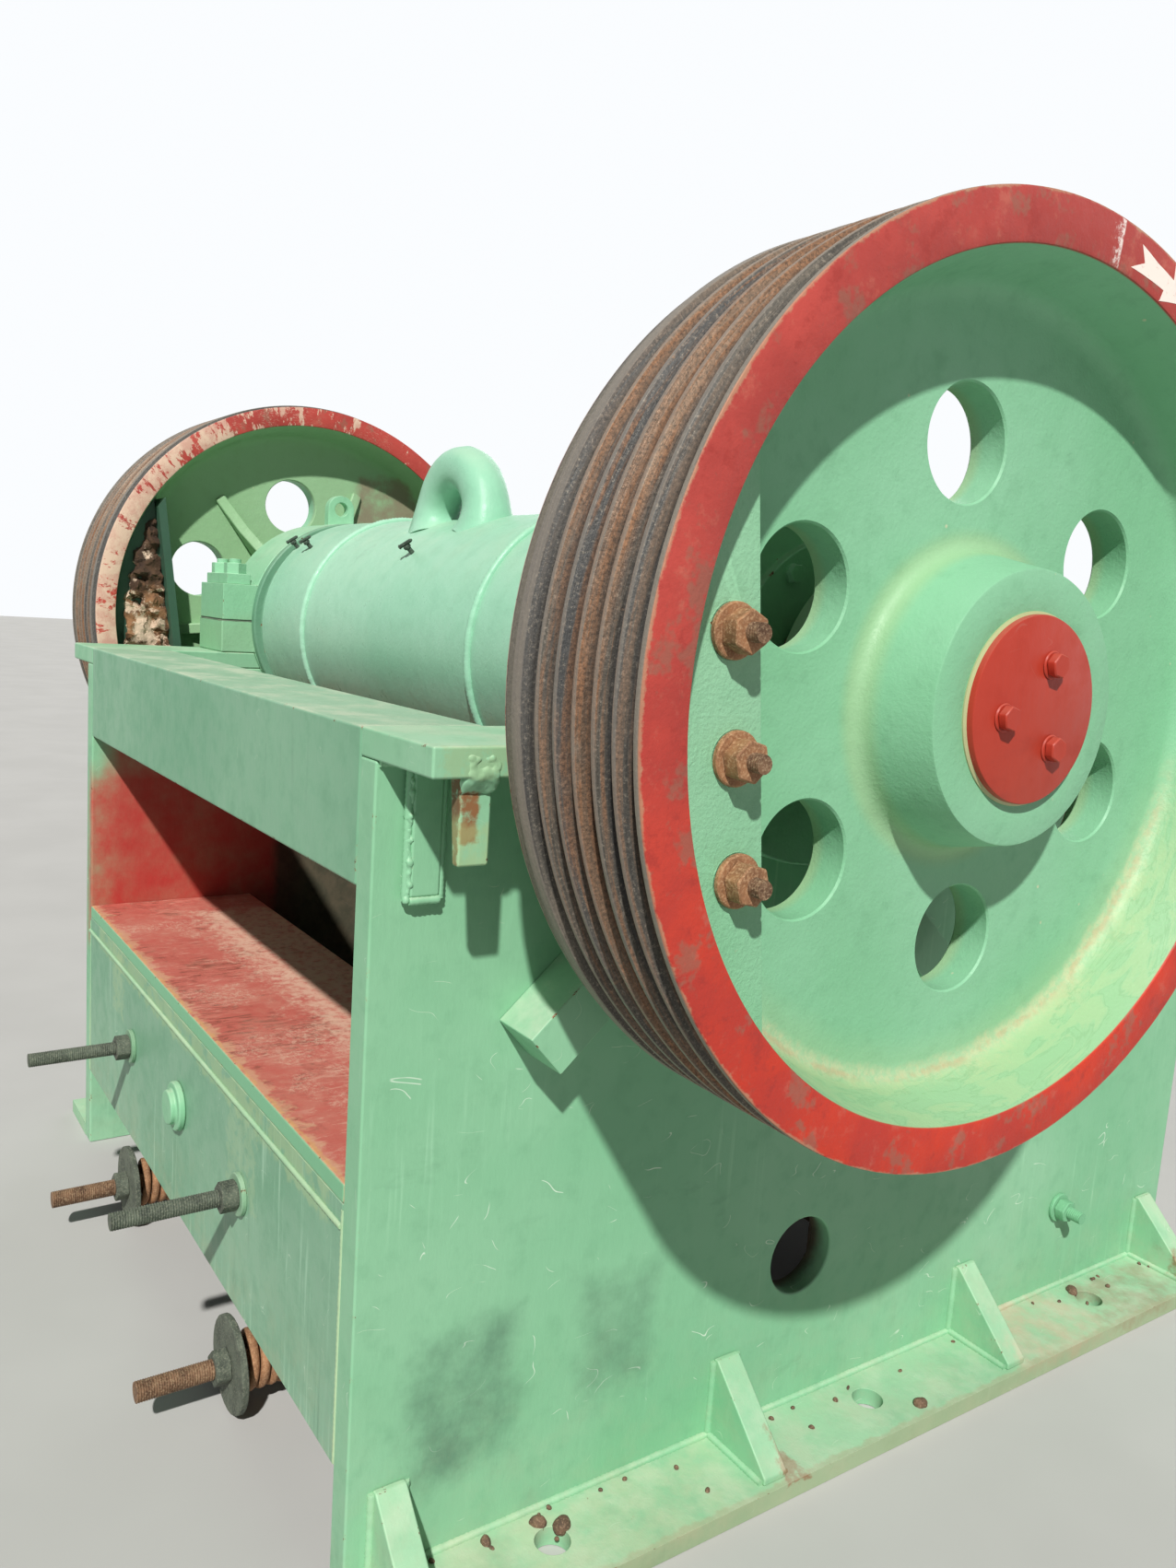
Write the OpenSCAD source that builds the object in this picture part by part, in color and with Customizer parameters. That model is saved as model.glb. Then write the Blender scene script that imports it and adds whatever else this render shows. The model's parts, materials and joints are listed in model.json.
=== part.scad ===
// Jaw crusher with two grooved flywheels, at real size in millimetres.
// X runs along the shaft, +Y is the feed end and -Y the rear end with the window.
// The origin lies on the ground, in the middle of the machine's outline.

/* [Frame] */
// Width over the outer faces of the side plates
frame_w = 1712; // [1600:1:1800]
// Thickness of the side plates
side_plate_t = 50; // [36:1:60]
// Distance from the shaft axis back to the rear face
rear_reach = 655; // [620:1:720]
// Distance by which the side plates run on past the front ribs
front_margin = 30; // [10:1:60]
// Height of the shaft axis above the ground
shaft_h = 1345; // [1335:1:1420]
// Distance from the shaft axis down to the top of the upper flanges
flange_drop = 82; // [70:1:90]
// Thickness of the upper flanges
flange_t = 40; // [30:1:50]
// Reach of the upper flanges outside the side plates
flange_out = 159; // [150:1:180]
// Reach of the base flanges outside the side plates
base_out = 160; // [150:1:190]
// Thickness of the base flanges
base_t = 32; // [20:1:40]
// Radius of the anchor bolt holes
anchor_r = 28; // [15:1:32]
// Distance between anchor holes along the base
anchor_pitch = 686; // [640:1:700]
// Distance from an anchor hole to the side plate's outer face
anchor_out = 70; // [60:1:90]
// Radius of the round access hole in each side plate
access_r = 71; // [40:1:90]

/* [Gussets and braces] */
// Thickness of the base gussets
gusset_t = 50; // [30:1:56]
// Height of the base gussets
gusset_h = 143; // [100:1:180]
// Distance from one base gusset to the next
gusset_pitch = 632; // [600:1:640]
// Reach of the base gussets outside the side plates
gusset_out = 146; // [100:1:148]
// Thickness of the brackets under the upper flanges
bracket_t = 44; // [30:1:80]
// Height of a bracket's outer edge
bracket_edge_h = 112; // [60:1:120]
// Height of a bracket where it meets the side plate
bracket_h = 184; // [160:1:220]
// Width of the diagonal braces under the bearings
brace_w = 78; // [50:1:90]
// Distance by which the diagonal braces stand off the side plate
brace_out = 90; // [60:1:110]
// Slope of the diagonal braces in degrees
brace_angle = 42; // [38:1:46]

/* [Rear wall] */
// Thickness of the rear plates
rear_t = 50; // [30:1:60]
// Height of the rear top beam
top_beam_h = 216; // [180:1:240]
// Depth of the plate on top of the rear beam
top_plate_w = 185; // [120:1:220]
// Distance from the shaft axis down to the shelf in the rear window
shelf_drop = 721; // [680:1:760]
// Thickness of the shelf
shelf_t = 30; // [20:1:40]
// Depth of the shelf
shelf_w = 400; // [300:1:420]
// Distance from the shaft axis down to the bottom of the rear wall
wall_drop = 1150; // [1130:1:1180]

/* [Adjusting gear] */
// Radius of the adjusting studs
stud_r = 17; // [10:1:22]
// Distance by which the adjusting studs stand out behind the rear face
stud_out = 212; // [120:1:260]
// Distance between the two adjusting studs
stud_span = 750; // [600:1:900]
// Distance from the shaft axis down to the adjusting studs
stud_drop = 935; // [900:1:970]
// Radius of the round boss between the adjusting studs
boss_r = 48; // [30:1:60]
// Thickness of the toggle plate
toggle_t = 60; // [40:1:80]
// Height of the toggle block behind the rear wall
toggle_block_h = 170; // [140:1:200]
// Depth of the toggle block
toggle_block_w = 330; // [300:1:360]
// Radius of the tension rods
rod_r = 18; // [12:1:20]
// Distance between the two tension rods
rod_span = 730; // [600:1:900]
// Radius of the tension springs
spring_r = 52; // [40:1:60]
// Length of the tension springs
spring_len = 90; // [60:1:110]

/* [Crushing chamber] */
// Thickness of the front wall
front_wall_t = 60; // [40:1:80]
// Depth of the stiffening ribs on the front wall
front_rib_w = 190; // [140:1:200]
// Thickness of the stiffening ribs
front_rib_t = 40; // [25:1:50]
// Thickness of the jaw plates, teeth included
jaw_plate_t = 80; // [60:1:90]
// Height of the teeth on the jaw plates
tooth_h = 24; // [12:1:30]
// Distance from one tooth to the next
tooth_pitch = 74; // [60:1:100]
// Thickness of the cheek plates
cheek_t = 30; // [20:1:36]
// Distance from the shaft axis forward to the fixed jaw's face
chamber_reach = 1020; // [1010:1:1060]
// Gap at the bottom between the two jaw plates
discharge_gap = 92; // [80:1:110]
// Lean of the swing jaw in degrees
jaw_angle = 26; // [25:1:27]

/* [Swing jaw] */
// Outer radius of the barrel round the shaft
barrel_r = 266; // [255:1:270]
// Wall of the barrel
barrel_wall = 36; // [25:1:45]
// Clearance between the swing jaw and the cheek plates
jaw_clearance = 21; // [8:1:30]
// Reach of the moving jaw plate above the shaft axis
jaw_rise = 0; // [-60:1:20]
// Thickness of the slab that carries the moving jaw plate
slab_t = 100; // [70:1:110]
// Thickness of the ribs behind that slab
jaw_rib_t = 45; // [30:1:60]
// Outer radius of the lifting eye
eye_r = 153; // [130:1:170]
// Radius of the hole in the lifting eye
eye_hole_r = 62; // [50:1:80]
// Thickness of the lifting eye
eye_t = 92; // [60:1:100]

/* [Bearings] */
// Radius of the shaft in its bearings
shaft_r = 110; // [90:1:120]
// Radius of the bearing housings
housing_r = 270; // [262:1:275]
// Half the width of a bearing housing over its bolt ears
ear_reach = 345; // [330:1:360]
// Height of the bolt ears above the shaft axis
ear_h = 92; // [70:1:110]
// Length of the bearing housings along the shaft
housing_len = 194; // [170:1:200]
// Outer radius of the seal rings between bearings and barrel
seal_r = 248; // [200:1:250]
// Length of the seal rings along the shaft
seal_len = 121; // [60:1:140]
// Length of the wide flange at the outer end of the seal rings
seal_lip = 24; // [10:1:40]
// Radius of the bearing end covers
cover_r = 215; // [180:1:230]
// Running gap round the shaft
running_gap = 0.3; // [0.2:0.05:0.5]

/* [Flywheels] */
// Outer radius of the flywheels
wheel_r = 600; // [580:1:640]
// Length of the shaft collar between a bearing cover and the hub
collar_len = 54; // [40:1:80]
// Width of a flywheel's rim
rim_w = 271; // [260:1:290]
// Inner radius of the rim at its outer face
rim_inner_r = 539; // [520:1:545]
// Amount by which the inside of the rim narrows towards the web
rim_draft = 24; // [10:1:40]
// Distance from the rim's outer face to the web
web_inset = 106; // [95:1:112]
// Thickness of the web
web_t = 59; // [40:1:70]
// Radius of the round holes in the web
web_hole_r = 74.4; // [50:0.1:80]
// Radius of the circle through the web holes
web_hole_pitch_r = 327; // [300:1:340]
// Radius of the hub where it meets the web
hub_r = 195; // [185:1:205]
// Radius of the hub's outer face
hub_face_r = 173; // [150:1:180]
// Distance by which the hub stays behind the rim's outer face
hub_inset = 5; // [3:1:20]
// Thickness of the radial ribs on the inner side of the web
wheel_rib_t = 30; // [20:1:40]
// Reach of the radial ribs from the shaft's axis
rib_reach = 412; // [380:1:440]
// Height of the radial ribs at their outer end
rib_end_h = 9; // [5:1:20]
// Turn of the web holes away from the vertical in degrees
wheel_turn = 6.9; // [0:0.1:15]
// Distance from one belt groove to the next
groove_pitch = 37; // [33:1:38]
// Width of a belt groove at its mouth
groove_w = 30; // [24:1:32]
// Depth of a belt groove
groove_depth = 26; // [18:1:30]

/* [Balance weights] */
// Distance from the shaft axis to the straight edge of a balance weight
chord_reach = 400; // [390:1:420]
// Thickness of the outer balance weight
weight_t = 58; // [40:1:60]
// Distance between the studs in a balance weight
weight_stud_pitch = 137; // [110:1:150]
// Radius of those studs
weight_stud_r = 12; // [8:1:14]
// Distance by which the cap on each shaft end laps over the hub
end_cap_lap = 8; // [4:1:20]
// Thickness of that cap
end_cap_t = 13; // [8:1:16]

/* [Hidden] */
$fn = 96;

// Overlap of cutting bodies past the faces that they cut
past = 1;
// Seat gap between curved faces that are welded or pressed together
seat_gap = 0.3;
// Clearance between turning and fixed faces along the shaft
side_gap = 5;

// Frame
plate_out = frame_w / 2;
plate_in = plate_out - side_plate_t;
ground = -shaft_h;
flange_top = -flange_drop;
flange_low = flange_top - flange_t;
shelf_top = -shelf_drop;
wall_low = -wall_drop;
access_place = [205, -1030];
first_gusset = 590;
first_anchor = 345;
anchor_count = 3;
gusset_count = 4;
bracket_margin = 48;
bracket_inset = 17;
bracket_pad_t = 17;
bracket_leg_t = 30;
brace_foot = [-425, -525];
side_stud_place = [978, -1122];

// Shaft and bearings
housing_out = plate_in + housing_len;
cover_t = 14;
seal_in = plate_in - seal_len;
barrel_len = 2 * (seal_in - side_gap);
jaw_w = 2 * (plate_in - cheek_t - jaw_clearance);
hub_back = housing_out + cover_t + side_gap + collar_len;
hub_recess = 6;
wheel_inner = hub_back - hub_recess;
wheel_face = wheel_inner + rim_w;
hub_face = wheel_face - hub_inset;
end_cap_r = shaft_r + end_cap_lap;
web_out = wheel_face - web_inset;
web_in = web_out - web_t;
inner_dish_r = rim_inner_r + 5;
collar_r = shaft_r + 25;
cap_bolt_spread = 52;
cap_bolt_in = 45;
pad_h = 26;
cap_nut_h = 27;

// Front wall
front_wall_y = chamber_reach + jaw_plate_t;
front_rib_y = front_wall_y + front_wall_t;
front_reach = front_rib_y + front_rib_w + front_margin;

// Tension gear: the rods run below the rear wall
rod_below = 106;
rod_drop = wall_drop + rod_below;
rod_disc_r = shaft_h - rod_drop - 5;
rod_plate_w = 130;
rod_end_len = 167;
rear_tip = rear_reach + stud_out;
// Middle of the outline along Y, measured from the shaft axis
middle_y = (front_reach - rear_tip) / 2;

// Swing jaw: a line leaning forward from the barrel to the discharge gap
jaw_low = 10 - wall_drop;
jaw_high = jaw_rise + 60;
jaw_low_y = chamber_reach - discharge_gap;
jaw_slope = tan(jaw_angle);
barrel_shift = -18;
toggle_seat_y = 400;
toggle_seat_z = -1010;
// Gap that the swing jaw needs at its rear limit, in front of the toggle plate and the rods
toggle_gap = 22;
toggle_back_y = -rear_reach + rear_t + toggle_block_w;

module at_shaft() translate([0, -middle_y, shaft_h]) children();
module mirrored() mirror([1, 0, 0]) children();
// Box from its lowest to its highest corner
module block(low, high) translate(low) cube(high - low);
// Bar from x0 to x1 along the shaft's direction
module rod_x(r, x0, x1) translate([x0, 0, 0]) rotate([0, 90, 0]) cylinder(r = r, h = x1 - x0);
// Bar from y0 to y1
module rod_y(r, y0, y1) translate([0, y1, 0]) rotate([90, 0, 0]) cylinder(r = r, h = y1 - y0);
// Plate from x0 to x1 whose outline is given in Y and Z
module slab_x(x0, x1) translate([x0, 0, 0]) rotate([90, 0, 90]) linear_extrude(x1 - x0) children();
// Hexagon nut along X, by its width across flats
module hex_x(flats, x0, x1)
    translate([x0, 0, 0]) rotate([0, 90, 0]) cylinder(r = flats / sqrt(3), h = x1 - x0, $fn = 6);
module hex_y(flats, y0, y1)
    translate([0, y1, 0]) rotate([90, 0, 0]) cylinder(r = flats / sqrt(3), h = y1 - y0, $fn = 6);
module hex_z(flats, z0, z1)
    translate([0, 0, z0]) cylinder(r = flats / sqrt(3), h = z1 - z0, $fn = 6);

module side_plate_right()
    color("mediumseagreen") at_shaft() difference() {
        block([plate_in, -rear_reach, ground], [plate_out, front_reach, flange_low]);
        rod_x(housing_r + seat_gap, plate_in - past, plate_out + past);
        translate([0, access_place[0], access_place[1]])
            rod_x(access_r, plate_in - past, plate_out + past);
    }
module side_plate_left() mirrored() side_plate_right();

module top_flange_right()
    color("mediumseagreen") at_shaft() difference() {
        block([plate_in, -rear_reach, flange_low], [plate_out + flange_out, front_reach, flange_top]);
        rod_x(housing_r + seat_gap, plate_in - past, plate_out + flange_out + past);
    }
module top_flange_left() mirrored() top_flange_right();

module base_flange_right()
    color("mediumseagreen") at_shaft() difference() {
        block([plate_out, -rear_reach, ground], [plate_out + base_out, front_reach, ground + base_t]);
        for (i = [0:anchor_count - 1])
            translate([plate_out + anchor_out, i * anchor_pitch - first_anchor, ground - past])
                cylinder(r = anchor_r, h = base_t + 2 * past);
    }
module base_flange_left() mirrored() base_flange_right();

// One triangular gusset on the base flange, centred on y = 0
module base_gusset()
    translate([0, gusset_t / 2, 0]) rotate([90, 0, 0]) linear_extrude(gusset_t)
        polygon([[plate_out, ground + base_t], [plate_out + gusset_out, ground + base_t],
            [plate_out + gusset_out, ground + base_t + 12], [plate_out + 10, ground + base_t + gusset_h],
            [plate_out, ground + base_t + gusset_h]]);
module base_gussets_right()
    color("mediumseagreen") at_shaft()
        for (i = [0:gusset_count - 1]) translate([0, i * gusset_pitch - first_gusset, 0]) base_gusset();
module base_gussets_left() mirrored() base_gussets_right();

// One bracket under the upper flange, from y = 0 towards +Y: a pad on the side plate
// and a tapering leg that hangs from the flange's outer edge
module flange_bracket()
    translate([0, bracket_t, 0]) rotate([90, 0, 0]) linear_extrude(bracket_t) {
        polygon([[plate_out, flange_low], [plate_out + bracket_pad_t, flange_low],
            [plate_out + bracket_pad_t, flange_low - bracket_h + 4], [plate_out, flange_low - bracket_h]]);
        translate([plate_out + flange_out - bracket_inset, flange_low])
            polygon([[0, 0], [0, -bracket_edge_h], [-bracket_leg_t / 2, -bracket_edge_h], [-bracket_leg_t, 0]]);
    }
module flange_brackets_right()
    color("mediumseagreen") at_shaft() {
        translate([0, bracket_margin - rear_reach, 0]) flange_bracket();
        translate([0, front_reach - bracket_margin - bracket_t, 0]) flange_bracket();
    }
module flange_brackets_left() mirrored() flange_brackets_right();

// Diagonal brace from its foot up to the bearing housing
module bearing_brace()
    difference() {
        slab_x(plate_out, plate_out + brace_out)
            translate(brace_foot) rotate(brace_angle) translate([0, -brace_w / 2])
                square([housing_r + 200, brace_w]);
        rod_x(housing_r + seat_gap, plate_out - past, plate_out + brace_out + past);
        block([plate_out - past, -housing_r, flange_low - housing_r / 2],
            [plate_out + brace_out + past, 0, 0]);
        block([plate_out - past, 0, -housing_r * 2], [plate_out + brace_out + past, housing_r * 2, 0]);
    }
module bearing_braces_right()
    color("mediumseagreen") at_shaft() {
        bearing_brace();
        mirror([0, 1, 0]) bearing_brace();
    }
module bearing_braces_left() mirrored() bearing_braces_right();

module rear_top_beam()
    color("mediumseagreen") at_shaft() {
        block([-plate_in, -rear_reach, flange_top - top_beam_h], [plate_in, rear_t - rear_reach, flange_top]);
        block([-plate_in, -rear_reach, flange_low], [plate_in, top_plate_w - rear_reach, flange_top]);
    }

module rear_lower_wall()
    color("mediumseagreen") at_shaft() difference() {
        block([-plate_in, -rear_reach, wall_low], [plate_in, rear_t - rear_reach, shelf_top - shelf_t]);
        for (s = [-1, 1]) translate([s * stud_span / 2, 0, -stud_drop])
            rod_y(stud_r + seat_gap, -rear_reach - past, rear_t - rear_reach + past);
    }

module rear_shelf()
    color("indianred") at_shaft()
        block([-plate_in, -rear_reach, shelf_top - shelf_t], [plate_in, shelf_w - rear_reach, shelf_top]);

// Round boss in the middle of the rear wall, with a shallow rim
module rear_boss()
    color("mediumseagreen") at_shaft() translate([0, 0, -stud_drop + 10]) {
        rod_y(boss_r, -rear_reach - 14, -rear_reach);
        rod_y(boss_r - 14, -rear_reach - 26, -rear_reach);
    }

// Threaded stud with its nut and round washer
module adjusting_stud()
    union() {
        rod_y(stud_r, -rear_tip, rear_t - rear_reach);
        rod_y(stud_r * 2.3, -rear_reach - 9, -rear_reach);
        hex_y(stud_r * 3, -rear_reach - 9 - stud_r * 1.7, -rear_reach - 9);
    }
module adjusting_studs()
    color("dimgray") at_shaft()
        for (s = [-1, 1]) translate([s * stud_span / 2, 0, -stud_drop]) adjusting_stud();

// Block between the side plates that carries the rear end of the toggle plate,
// with two hangers below it that the tension springs push on
module toggle_block()
    color("darkseagreen") at_shaft() difference() {
        union() {
            block([-plate_in, rear_t - rear_reach, -stud_drop - toggle_block_h / 2],
                [plate_in, toggle_back_y, -stud_drop + toggle_block_h / 2]);
            for (s = [-1, 1])
                block([s * rod_span / 2 - rod_plate_w / 2, spring_len - rear_reach, -rod_drop - 56],
                    [s * rod_span / 2 + rod_plate_w / 2, spring_len - rear_reach + 30,
                        past - stud_drop - toggle_block_h / 2]);
        }
        for (s = [-1, 1]) translate([s * rod_span / 2, 0, -rod_drop])
            rod_y(rod_r + seat_gap, spring_len - rear_reach - past, spring_len - rear_reach + 30 + past);
    }

module toggle_plate()
    color("slategray") at_shaft() slab_x(60 - jaw_w / 2, jaw_w / 2 - 60)
        polygon([[toggle_back_y, -stud_drop - toggle_t / 2],
            [toggle_seat_y - toggle_gap, toggle_seat_z - toggle_t / 2],
            [toggle_seat_y - toggle_gap, toggle_seat_z + toggle_t / 2],
            [toggle_back_y, -stud_drop + toggle_t / 2]]);

// Rod with its spring between the hanger and a large round seat, and the nut behind that
module tension_rod()
    union() {
        rod_y(rod_r, -rear_reach - rod_end_len, toggle_seat_y - toggle_gap);
        rod_y(spring_r, -rear_reach, spring_len - rear_reach);
        rod_y(rod_disc_r, -rear_reach - 12, -rear_reach);
        hex_y(rod_r * 3, -rear_reach - 38, -rear_reach - 12);
    }
module tension_rods()
    color("dimgray") at_shaft()
        for (s = [-1, 1]) translate([s * rod_span / 2, 0, -rod_drop]) tension_rod();

module front_wall()
    color("mediumseagreen") at_shaft() {
        block([-plate_in, front_wall_y, wall_low], [plate_in, front_rib_y, flange_top]);
        block([-plate_in, front_rib_y - past, flange_low], [plate_in, front_rib_y + front_rib_w, flange_top]);
    }

// Grid of level ribs on the front wall, with upright ones welded between them
rib_step = 330;
module front_ribs()
    color("mediumseagreen") at_shaft() {
        for (k = [0:2]) {
            block([-plate_in, front_rib_y, wall_low + k * rib_step],
                [plate_in, front_rib_y + front_rib_w, wall_low + k * rib_step + front_rib_t]);
            top = k == 2 ? flange_low : wall_low + (k + 1) * rib_step;
            for (i = [-1:1])
                block([i * plate_in / 2 - front_rib_t / 2, front_rib_y,
                        wall_low + k * rib_step + front_rib_t + seat_gap],
                    [i * plate_in / 2 + front_rib_t / 2, front_rib_y + front_rib_w, top - seat_gap]);
        }
    }

// Plate seen along its teeth: width along X, thickness along Y, teeth towards +Y
module toothed_outline(width) {
    count = floor(width / tooth_pitch);
    start = -count * tooth_pitch / 2;
    root = jaw_plate_t - tooth_h;
    polygon(concat([[-width / 2, 0], [-width / 2, root]],
        [for (i = [0:count - 1], k = [0:3])
            [start + (i + [0.1, 0.35, 0.65, 0.9][k]) * tooth_pitch,
             k == 0 || k == 3 ? root : jaw_plate_t]],
        [[width / 2, root], [width / 2, 0]]));
}

module fixed_jaw_plate()
    color("gray") at_shaft() translate([0, front_wall_y, wall_low]) mirror([0, 1, 0])
        linear_extrude(flange_top - wall_low) toothed_outline(2 * (plate_in - cheek_t) - 2);

module cheek_plate_right()
    color("gray") at_shaft()
        block([plate_in - cheek_t, housing_r + 30, wall_low], [plate_in, front_wall_y, flange_low - 40]);
module cheek_plate_left() mirrored() cheek_plate_right();

module bearing_housing_right()
    color("mediumseagreen") at_shaft() difference() {
        union() {
            intersection() {
                rod_x(housing_r, plate_in, housing_out);
                block([plate_in, -housing_r, -housing_r], [housing_out, housing_r, 0]);
            }
            block([plate_in, -ear_reach, flange_top], [housing_out, ear_reach, 0]);
        }
        rod_x(shaft_r + running_gap, plate_in - past, housing_out + past);
    }
module bearing_housing_left() mirrored() bearing_housing_right();

cap_step = 3;
lug_r = 37;
lug_rise = 41;
lug_t = 28;
// Upper half of the housing with its bolt ears, lifting lug and end cover
module bearing_cap_right()
    color("mediumseagreen") at_shaft() difference() {
        union() {
            intersection() {
                rod_x(housing_r, plate_in + cap_step, housing_out);
                block([plate_in, -housing_r, 0], [housing_out, housing_r, housing_r]);
            }
            block([plate_in + cap_step, cap_step - ear_reach, 0],
                [housing_out, ear_reach - cap_step, ear_h]);
            intersection() {
                rod_x(cover_r, housing_out - past, housing_out + cover_t);
                block([0, -cover_r, 0], [wheel_face, cover_r, cover_r]);
            }
            slab_x(plate_in + (housing_len - lug_t) / 2, plate_in + (housing_len + lug_t) / 2) difference() {
                union() {
                    translate([0, housing_r + lug_rise]) circle(lug_r);
                    translate([-lug_r, housing_r - 20]) square([2 * lug_r, lug_rise + 20]);
                }
                translate([0, housing_r + lug_rise]) circle(lug_r / 2);
            }
        }
        rod_x(shaft_r + running_gap, plate_in - past, housing_out + cover_t + past);
    }
module bearing_cap_left() mirrored() bearing_cap_right();

// Two cap bolts on each ear, over a raised pad
module cap_bolts_right()
    color("mediumseagreen") at_shaft()
        for (s = [-1, 1]) translate([0, s * (ear_reach - cap_bolt_in), 0]) union() {
            block([plate_in + 12, -30, ear_h], [housing_out - 8, 30, ear_h + pad_h]);
            for (k = [-1, 1])
                translate([plate_in + housing_len / 2 + k * cap_bolt_spread, 0, 0]) {
                    hex_z(50, ear_h + pad_h - past, ear_h + pad_h + cap_nut_h);
                    translate([0, 0, ear_h + pad_h]) cylinder(r = 15, h = cap_nut_h + 11);
                }
        }
module cap_bolts_left() mirrored() cap_bolts_right();

module seal_ring_right()
    color("mediumseagreen") at_shaft() difference() {
        union() {
            rod_x(seal_r, seal_in, plate_in);
            rod_x(housing_r, plate_in - seal_lip, plate_in);
        }
        rod_x(shaft_r + running_gap, seal_in - past, plate_in + past);
    }
module seal_ring_left() mirrored() seal_ring_right();

// Stud with nut and washer on the outside of each side plate
module side_studs()
    color("dimgray") at_shaft()
        for (s = [-1, 1]) scale([s, 1, 1]) translate([0, side_stud_place[0], side_stud_place[1]]) union() {
            rod_x(13, plate_out, plate_out + 62);
            rod_x(30, plate_out, plate_out + 8);
            hex_x(40, plate_out + 8, plate_out + 30);
        }

// Shaft: even in the bearings, with an eccentric stretch inside the barrel
module shaft()
    color("silver") at_shaft() {
        rod_x(shaft_r, -hub_face, hub_face);
        translate([0, barrel_shift, 0]) rod_x(shaft_r + 20, -barrel_len / 2 + 120, barrel_len / 2 - 120);
        for (s = [-1, 1]) scale([s, 1, 1])
            rod_x(collar_r, housing_out + cover_t + side_gap, hub_back);
    }

// Inner radius of the rim at a place along X
function dish_r(x) = x >= web_out
    ? rim_inner_r - rim_draft * (wheel_face - x) / web_inset
    : inner_dish_r - rim_draft * (x - wheel_inner) / (web_in - wheel_inner);
groove_count = 6;
groove_margin = 26;
groove_half_floor = groove_w / 2 - groove_depth * tan(19);
// Middle of a belt groove along X, counted from the outer face
function groove_x(i) = wheel_face - groove_margin - i * groove_pitch;
rim_step = 6;
edge_cut = 5;
pocket_wall_t = 20;
// Outline of the rim, web and hub as radius and place along X
module wheel_outline()
    polygon(concat(
        [[shaft_r + seat_gap, hub_back], [hub_r - 12, hub_back], [hub_r, web_in]],
        [[dish_r(web_in), web_in], [dish_r(wheel_inner), wheel_inner]],
        [[wheel_r - rim_step, wheel_inner], [wheel_r - rim_step, wheel_inner + 25]],
        [[wheel_r, wheel_inner + 25]],
        [for (i = [groove_count - 1:-1:0], k = [0:3])
            [k == 0 || k == 3 ? wheel_r : wheel_r - groove_depth,
             groove_x(i) + [-groove_w / 2, -groove_half_floor, groove_half_floor, groove_w / 2][k]]],
        [[wheel_r, wheel_face - edge_cut], [wheel_r - edge_cut, wheel_face], [rim_inner_r, wheel_face]],
        [[dish_r(web_out), web_out], [hub_r, web_out], [hub_face_r, hub_face], [shaft_r + seat_gap, hub_face]]
    ));
// Turns a part about the shaft by the wheels' own turn
module turned(extra = 0) rotate([wheel_turn + extra, 0, 0]) children();
// One of the radial ribs stops at the balance pocket's wall
function rib_end(i) = i == 1 ? chord_reach - pocket_wall_t : rib_reach;
// Rib that is deepest at the hub and low at its outer end
module wheel_rib(reach)
    translate([0, wheel_rib_t / 2, 0]) rotate([90, 0, 0]) linear_extrude(wheel_rib_t)
        polygon([[wheel_inner + 11, hub_r - 16], [wheel_inner + 11, hub_r + 5],
            [web_in - 30, (hub_r + rib_reach) / 2 + 6], [web_in - rib_end_h, reach],
            [web_in + past, reach], [web_in + past, hub_r - 16]]);
module flywheel_right()
    color("seagreen") at_shaft() {
        difference() {
            rotate([0, 90, 0]) rotate_extrude($fn = 180) wheel_outline();
            for (i = [0:5]) turned(60 * i) translate([0, 0, web_hole_pitch_r])
                rod_x(web_hole_r, web_in - past, web_out + past);
        }
        for (i = [0:5]) turned(60 * i + 30)
            wheel_rib(rib_end(i));
    }
module flywheel_left() mirrored() flywheel_right();

// Fill between the straight edge and the rim, from x0 to x1
weight_gap = 0.6;
slip = 0.1;
module weight_fill(x0, x1)
    turned() intersection() {
        rotate([0, 90, 0]) rotate_extrude($fn = 180) polygon([[0, x0], [dish_r(x0) - weight_gap, x0],
            [dish_r(x1) - weight_gap, x1], [0, x1]]);
        block([x0 - past, -wheel_r, -wheel_r], [x1 + past, -chord_reach, wheel_r]);
    }
weight_stud_y = chord_reach + 39;
weight_stud_drop = 8;
pocket_depth = 62;
module weight_studs()
    turned() for (k = [-1:1])
        translate([0, -weight_stud_y, k * weight_stud_pitch - weight_stud_drop]) {
            rod_x(32, web_out + weight_t - past, web_out + weight_t + 8);
            hex_x(46, web_out + weight_t + 8 - past, web_out + weight_t + 30);
            rod_x(weight_stud_r, web_out + weight_t, web_out + weight_t + 43);
        }
module balance_weight_right()
    color("seagreen") at_shaft() {
        weight_fill(web_out + slip, web_out + weight_t);
        weight_studs();
    }
module balance_weight_left() mirrored() balance_weight_right();

// Pocket on the inner side of the web: a straight wall and the cast filling behind it
module balance_pocket_right()
    color("saddlebrown") at_shaft() {
        weight_fill(web_in - pocket_depth, web_in - slip);
        turned() intersection() {
            block([wheel_inner + 4, -chord_reach - past, -wheel_r],
                [web_in, pocket_wall_t - chord_reach, wheel_r]);
            rod_x(dish_r(web_in) - seat_gap, wheel_inner, web_in);
        }
    }
module balance_pocket_left() mirrored() balance_pocket_right();

cap_bolt_ring_r = 61;
cap_bolt_turn = 68.5;
module end_cap_right()
    color("firebrick") at_shaft() union() {
        rod_x(end_cap_r, hub_face, hub_face + end_cap_t);
        for (i = [0:2]) rotate([cap_bolt_turn + 120 * i, 0, 0]) translate([0, cap_bolt_ring_r, 0])
            hex_x(30, hub_face + end_cap_t - past, hub_face + end_cap_t + 14);
    }
module end_cap_left() mirrored() end_cap_right();

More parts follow.
